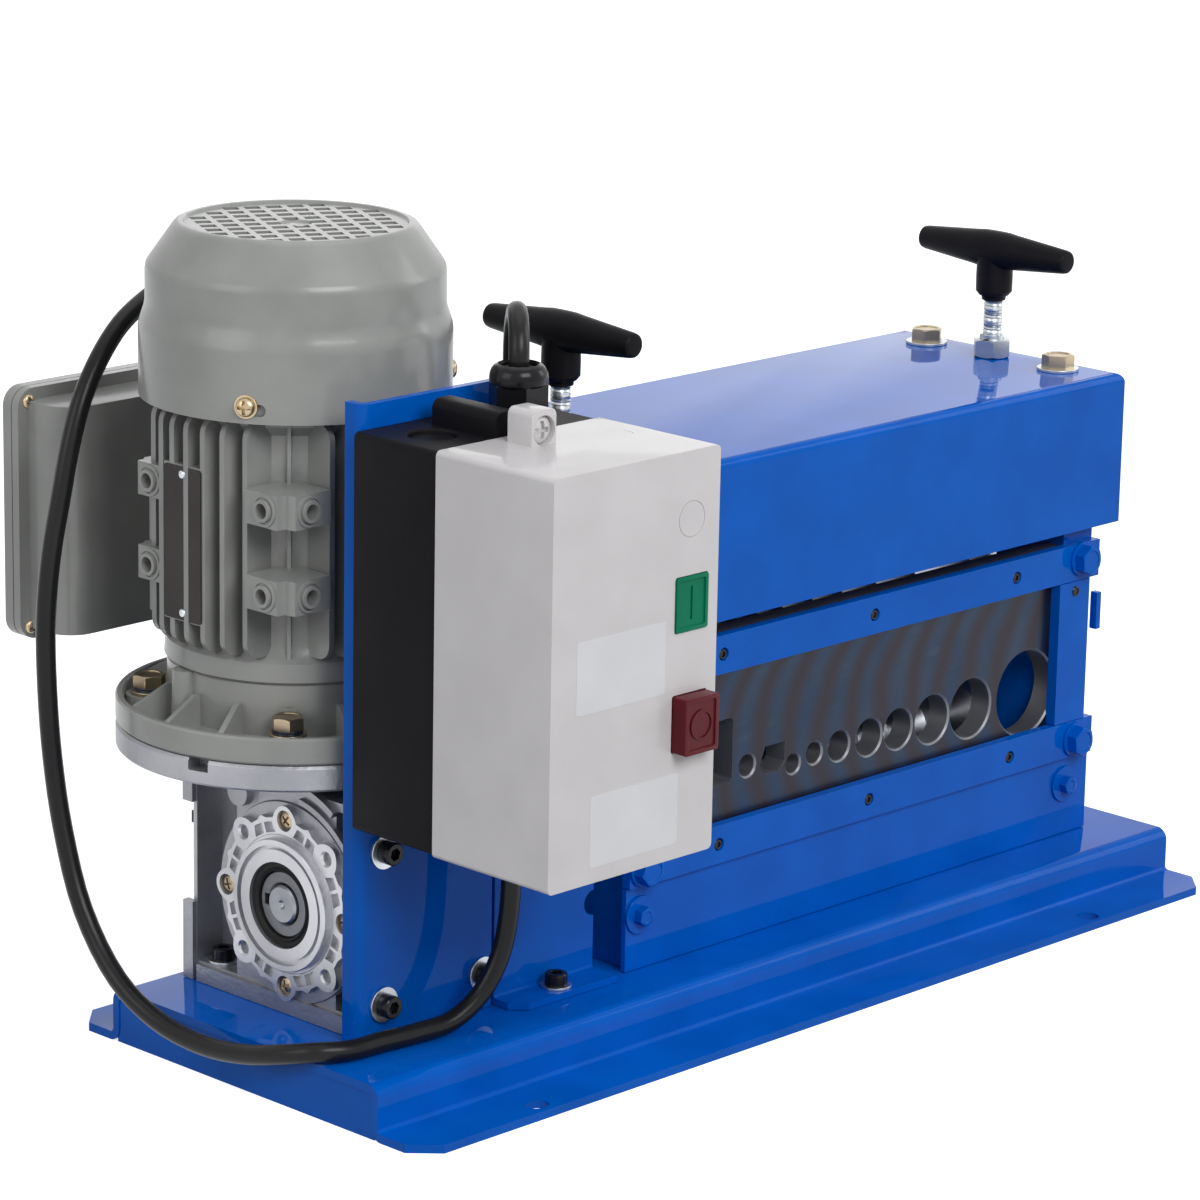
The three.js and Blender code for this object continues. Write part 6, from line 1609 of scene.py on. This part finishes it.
# %% Top cover
COVER_XS, COVER_YS = (176.0, 524.0), (25.0, 168.0)
LID_FOOT, LID_TOP, LID_SHEET, LID_BEND = 183.0, 258.0, 3.0, 4.5
across = [(COVER_YS[0], LID_FOOT), (COVER_YS[0] + LID_SHEET, LID_FOOT)]
across += arc((COVER_YS[0] + LID_BEND, LID_TOP - LID_BEND), LID_BEND - LID_SHEET, 180, 90, 5)
across += arc((COVER_YS[1] - LID_BEND, LID_TOP - LID_BEND), LID_BEND - LID_SHEET, 90, 0, 5)
across += [(COVER_YS[1] - LID_SHEET, LID_FOOT), (COVER_YS[1], LID_FOOT)]
across += arc((COVER_YS[1] - LID_BEND, LID_TOP - LID_BEND), LID_BEND, 0, 90, 8)
across += arc((COVER_YS[0] + LID_BEND, LID_TOP - LID_BEND), LID_BEND, 90, 180, 8)
lid = pushed(across, "x", COVER_XS)
END_FLANGE = 16.0
front_view = [(COVER_XS[0], LID_FOOT - 5)] + arc((COVER_XS[0] + 5, LID_TOP - 5), 5, 180, 90, 8)
front_view += arc((COVER_XS[1] - 5, LID_TOP - 5), 5, 90, 0, 8) + [(COVER_XS[1], LID_FOOT - 5)]
lid = combine(lid, [pushed(front_view, "y", (0, 200))], "INTERSECT")
flanges = Draft()
for x, way in ((COVER_XS[0], 1), (COVER_XS[1], -1)):
    outer = arc((x + way * 5, LID_TOP - 5), 5, 90, 180 if way > 0 else 0, 8)
    inner = arc((x + way * 5, LID_TOP - 5), 2, 180 if way > 0 else 0, 90, 6)
    hook = outer + [(x, LID_TOP - END_FLANGE), (x + way * 3, LID_TOP - END_FLANGE)] + inner
    flanges.prism(hook, "y", (COVER_YS[0] + 3.4, COVER_YS[1] - 3.4))
lid = welded(lid, flanges.mesh())
SCREW_XS = (199.0, 504.0)
screw_holes = Draft()
for x in SCREW_XS:
    screw_holes.prism(circle((x, DRIVE_Y), 5.6, 40), "z", (240, 270))
piece("folded_top_cover", carved(lid, screw_holes.mesh()), "blue_gloss_paint",
      stands_for=["top_cover"], bevel=0.3)

# %% [markdown]
# ## Press screws
# A thread is a ridge that climbs along a helix. It could be faked with rings, but then it would not look
# right where it enters the nut. The node tree winds a spiral, gives it a small diamond as its section, and
# adds the core.

# %% Thread tree
threads, given, out = new_tree("screw_thread", Core_Radius=4.2, Pitch=1.5, Length=100.0, Ridge=0.85)
given_of = given.outputs
work_out = calculator(threads)
spiral = node(threads, "GeometryNodeCurveSpiral", {
    "Resolution": 28, "Rotations": work_out("DIVIDE", given_of["Length"], given_of["Pitch"]),
    "Start Radius": given_of["Core Radius"], "End Radius": given_of["Core Radius"],
    "Height": given_of["Length"]})
ridge = node(threads, "GeometryNodeCurvePrimitiveCircle", {"Resolution": 4, "Radius": given_of["Ridge"]})
wound = node(threads, "GeometryNodeCurveToMesh", {
    "Curve": spiral.outputs["Curve"], "Profile Curve": ridge.outputs["Curve"], "Fill Caps": True})
core = node(threads, "GeometryNodeMeshCylinder", {
    "Vertices": 40, "Radius": given_of["Core Radius"], "Depth": given_of["Length"]})
lift = node(threads, "ShaderNodeCombineXYZ", {"Z": work_out("MULTIPLY", given_of["Length"], 0.5)})
high_core = node(threads, "GeometryNodeTransform",
                 {"Geometry": core.outputs["Mesh"], "Translation": lift.outputs[0]})
both = node(threads, "GeometryNodeJoinGeometry", {"Geometry": wound.outputs["Mesh"]})
threads.links.new(high_core.outputs["Geometry"], both.inputs["Geometry"])
end_tree(threads, given, both.outputs["Geometry"], out)

# %% Screws: a plain tip below, the thread above
SCREW_TIP, THREAD_FOOT, THREAD_TOP = 151.6, 176.0, 288.5


def outward(mesh):
    """Turns every face outward."""
    work = bmesh.new()
    work.from_mesh(mesh)
    bmesh.ops.recalc_face_normals(work, faces=work.faces)
    work.to_mesh(mesh)
    work.free()
    return mesh


for side, x in zip(("left", "right"), SCREW_XS):
    thread = run_tree(threads, Core_Radius=4.15, Pitch=1.5,
                      Length=THREAD_TOP - THREAD_FOOT, Ridge=0.75, Finish=finishes["bright_zinc"])
    placed(thread, (x, DRIVE_Y, THREAD_FOOT))
    tip = [(0, SCREW_TIP), (3.9, SCREW_TIP), (4.9, SCREW_TIP + 1.2), (4.9, THREAD_FOOT + 1),
           (4.2, THREAD_FOOT + 1.8), (0, THREAD_FOOT + 1.8)]
    tip = lathed(tip, "z", (x, DRIVE_Y), 40)
    upper = lathed(rod(4.9, THREAD_TOP - 1, 301), "z", (x, DRIVE_Y), 40)
    piece("threaded_press_screw_" + side, outward(joined(thread, tip, upper)), "bright_zinc",
          body="handle_" + side, stands_for=["press_screw_" + side], bevel=0, crease=50)

# %% Lock nuts, chamfered on both faces
def plain_nut(across_flats, height, bore, chamfer=1.0):
    corner = across_flats / math.sqrt(3)
    hexed = pushed(hexagon(across_flats), "z", (0, height))
    rim = across_flats / 2 * 0.97
    double = [(0, 0), (rim, 0), (corner + 0.05, chamfer), (corner + 0.05, height - chamfer),
              (rim, height), (0, height)]
    nut = combine(hexed, [lathed(double, sides=64)], "INTERSECT")
    way = lathed([(0, -2), (bore + 1.0, -2), (bore + 1.0, 0), (bore, 1.0), (bore, height - 1.0),
                  (bore + 1.0, height), (bore + 1.0, height + 2), (0, height + 2)], sides=40)
    return carved(nut, way)


NUT_SPIN = 44.0
nut_spots = [(x, DRIVE_Y, 258.3, "+z", NUT_SPIN) for x in SCREW_XS]
nuts = fasteners("chamfered_lock_nuts", plain_nut(16.97, 9.0, 5.0), nut_spots, "bright_zinc", bevel=0.2)
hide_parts("lock_nut_left", "lock_nut_right")

# %% [markdown]
# ## T-handles
# The handles are moulded in one piece: a bar that thins toward its round ends, on a short stem with a
# chamfer and a collar. Two turned forms are joined, and the bevel gives the soft line where they meet.

# %% T-handles
BAR_Z, HANDLE_FOOT = 312.0, 287.0
half_bar = [(9.4, 0.0), (9.3, 7.0), (8.7, 12.0), (5.9, 43.6), (5.5, 45.4), (4.4, 46.3), (0.0, 46.5)]
bar_section = [(radius, -along) for radius, along in half_bar[::-1]] + half_bar[1:]
stem_section = [(0, HANDLE_FOOT), (5.9, HANDLE_FOOT), (6.1, HANDLE_FOOT + 2.2), (7.4, HANDLE_FOOT + 2.4),
                (9.0, HANDLE_FOOT + 4.4), (9.1, HANDLE_FOOT + 12), (8.8, BAR_Z), (0, BAR_Z)]
for side, x in zip(("left", "right"), SCREW_XS):
    stem = lathed(stem_section, "z", (x, DRIVE_Y), 64)
    bar = lathed([(radius, DRIVE_Y + along) for radius, along in bar_section], "y", (x, BAR_Z), 64)
    grip = softened(welded(stem, bar), 1.2, 4, 35)
    grip = carved(grip, pushed(circle((x, DRIVE_Y), 5.2, 40), "z", (HANDLE_FOOT - 3, HANDLE_FOOT + 14.3)))
    piece("moulded_t_handle_" + side, grip, "black_moulded", body="handle_" + side,
          stands_for=["t_handle_" + side], bevel=0)

# %% [markdown]
# ## Bolts and screws
# The machine is held together by a few kinds of bolt. Each kind is drawn once, with its washer, and the
# node tree sets it on every place where the machine has one.

# %% A head stands on its washer
def raised(places, by):
    """The same places, moved out along the way that each of them faces."""
    moved = []
    for *place, facing, spin in places:
        way = FACING.get(facing, facing)
        moved.append((*(along + by * share for along, share in zip(place, way)), facing, spin))
    return moved


# %% Black socket bolts with bright washers: bracket, guard and gearbox feet
bracket_spots = [(x, BRACKET_FRONT, z, "-y", 12 * i) for i, (x, z) in enumerate(BRACKET_BOLTS)]
fasteners("bracket_washers", washer(8.0, 3.2, 1.4), bracket_spots, "bright_zinc", bevel=0.2)
fasteners("bracket_socket_bolts", socket_head(5.2, 6.0, 5.0), raised(bracket_spots, 1.4), "black_gloss",
          bevel=0.15)
foot_spots = [(*GUARD_BOLT, ON_DECK + GUARD_SHEET, "+z", 10)]
foot_spots += [(x, y, HOUSING_FOOT + PLATE, "+z", 25) for x in (43.0, 99.0) for y in (57.5, 147.5)]
fasteners("foot_washers", washer(7.0, 3.2, 1.2), foot_spots, "bright_zinc", bevel=0.2)
fasteners("foot_socket_bolts", socket_head(5.2, 5.6, 5.0), raised(foot_spots, 1.2), "black_gloss",
          bevel=0.15)

# %% Painted bolts on the rails and the front panel
rail_spots = [(x, RAIL_FRONT, z, "-y", spin) for x, spin in ((191.5, 10), (500.8, 35))
              for z in (74.2, 167.0)]
fasteners("painted_rail_washers", washer(8.8, 4.2, 1.4), rail_spots, "blue_gloss_paint", bevel=0.3)
fasteners("painted_rail_bolts", hex_head(13.0, 5.6), raised(rail_spots, 1.4), "blue_gloss_paint", bevel=0.3)
panel_spots = [(191.5, FRONT_FACE, 51.5, "-y", 20), (496.5, FRONT_FACE, 51.5, "-y", 50)]
fasteners("painted_panel_washers", washer(9.0, 3.2, 1.2), panel_spots, "blue_gloss_paint", bevel=0.3)
fasteners("painted_panel_bolts", hex_head(8.0, 4.4, 0.3), raised(panel_spots, 1.2), "blue_gloss_paint",
          bevel=0.3)
rear_spots = [(x, REAR_FACE, z, "+y", spin) for z, spin in ((66.0, 15), (38.0, 40)) for x in SCREW_XS]
fasteners("painted_rear_bolts", hex_head(8.0, 4.4, 0.3), rear_spots, "blue_gloss_paint", bevel=0.3)

# %% Sunk grub screws in the rails
grub_spots = [(x, RAIL_FRONT + 1.8, z, "-y", 17 * i) for i, (x, z) in enumerate(RAIL_SCREWS)]
fasteners("sunk_grub_screws", socket_head(2.8, 1.3, 2.6), grub_spots, "black_gloss", bevel=0.1)
post_spots = [(497.0, RAIL_FRONT, 151.0, "-y", 0), (206.0, RAIL_FRONT, 151.0, "-y", 30)]
fasteners("post_screws", socket_head(2.7, 0.7, 3.0), post_spots, "black_gloss", bevel=0.1)

# %% Yellow zinc bolts: top cover and motor flange
cover_spots = [(x, DRIVE_Y + y, LID_TOP, "+z", 20 + y / 3) for x in SCREW_XS for y in (-42.5, 42.5)]
fasteners("cover_washers", washer(10.4, 4.3, 1.5), cover_spots, "bright_zinc", bevel=0.3)
fasteners("cover_bolts", hex_head(14.0, 6.4), raised(cover_spots, 1.5), "yellow_zinc", bevel=0.3)
flange_spots = [(*around(MOTOR_AXIS, BOLT_CIRCLE, angle), BOLT_SEAT, "+z", 14 + 20 * k)
                for k, angle in enumerate(BOLT_ANGLES)]
fasteners("flange_washers", washer(8.4, 4.3, 1.6), flange_spots, "yellow_zinc", bevel=0.3)
fasteners("flange_spring_washers", washer(6.8, 4.3, 1.8), raised(flange_spots, 1.6), "dark_steel",
          bevel=0.2)
fasteners("flange_bolts", hex_head(13.0, 5.6), raised(flange_spots, 3.4), "yellow_zinc", bevel=0.3)

# %% Cross screws: output cover, fan cover and terminal box
cover_screw_spots = [(COVER_FACE + 2.8, y, z, "-x", 20 + 31 * i) for i, (y, z) in enumerate(screws)]
fasteners("output_cover_screws", cross_head(4.3, 2.2), cover_screw_spots, "yellow_zinc", bevel=0.1)
fan_spots = []
for i, degrees in enumerate(SCREW_TURNS):
    angle = math.radians(degrees)
    facing = (math.cos(angle), math.sin(angle), 0.0)
    fan_spots.append((MOTOR_X + 68.8 * facing[0], MOTOR_Y + 68.8 * facing[1], SCREW_Z, facing, 30 + 50 * i))
fasteners("fan_cover_washers", washer(5.2, 2.4, 1.0), fan_spots, "yellow_zinc", bevel=0.15)
fasteners("fan_cover_screws", cross_head(4.3, 3.2, arm=0.72, slot_width=0.34), raised(fan_spots, 0.9),
          "yellow_zinc", bevel=0.1)
rim_xs, rim_zs = (BOX_LEFT + 0.5, BOX_RIGHT - 0.5), (BOX_FOOT + 0.5, BOX_TOP - 0.5)
rim_spots = [(x, BOX_BACK - 4.5, z, "-y", 25) for x in rim_xs for z in rim_zs]
fasteners("terminal_box_screw_ends", cross_head(3.3, 2.0), rim_spots, "yellow_zinc", bevel=0.1)
lid_spots = [(x, BOX_BACK + 6.3, z, "+y", 25) for x in rim_xs for z in rim_zs]
fasteners("terminal_lid_screws", cross_head(3.6, 1.2), lid_spots, "yellow_zinc", bevel=0.1)

# %% Rivets of the blank nameplate
rivet = lathed([(0, 0), (1.9, 0), (1.7, 0.5), (1.0, 0.9), (0, 1.0)], sides=24)
rivet_spots = [(MOTOR_X - 63.9, MOTOR_Y + 2.5, z, "-x", 0) for z in (206.0, 268.0)]
fasteners("nameplate_rivets", rivet, rivet_spots, "bright_zinc", bevel=0)
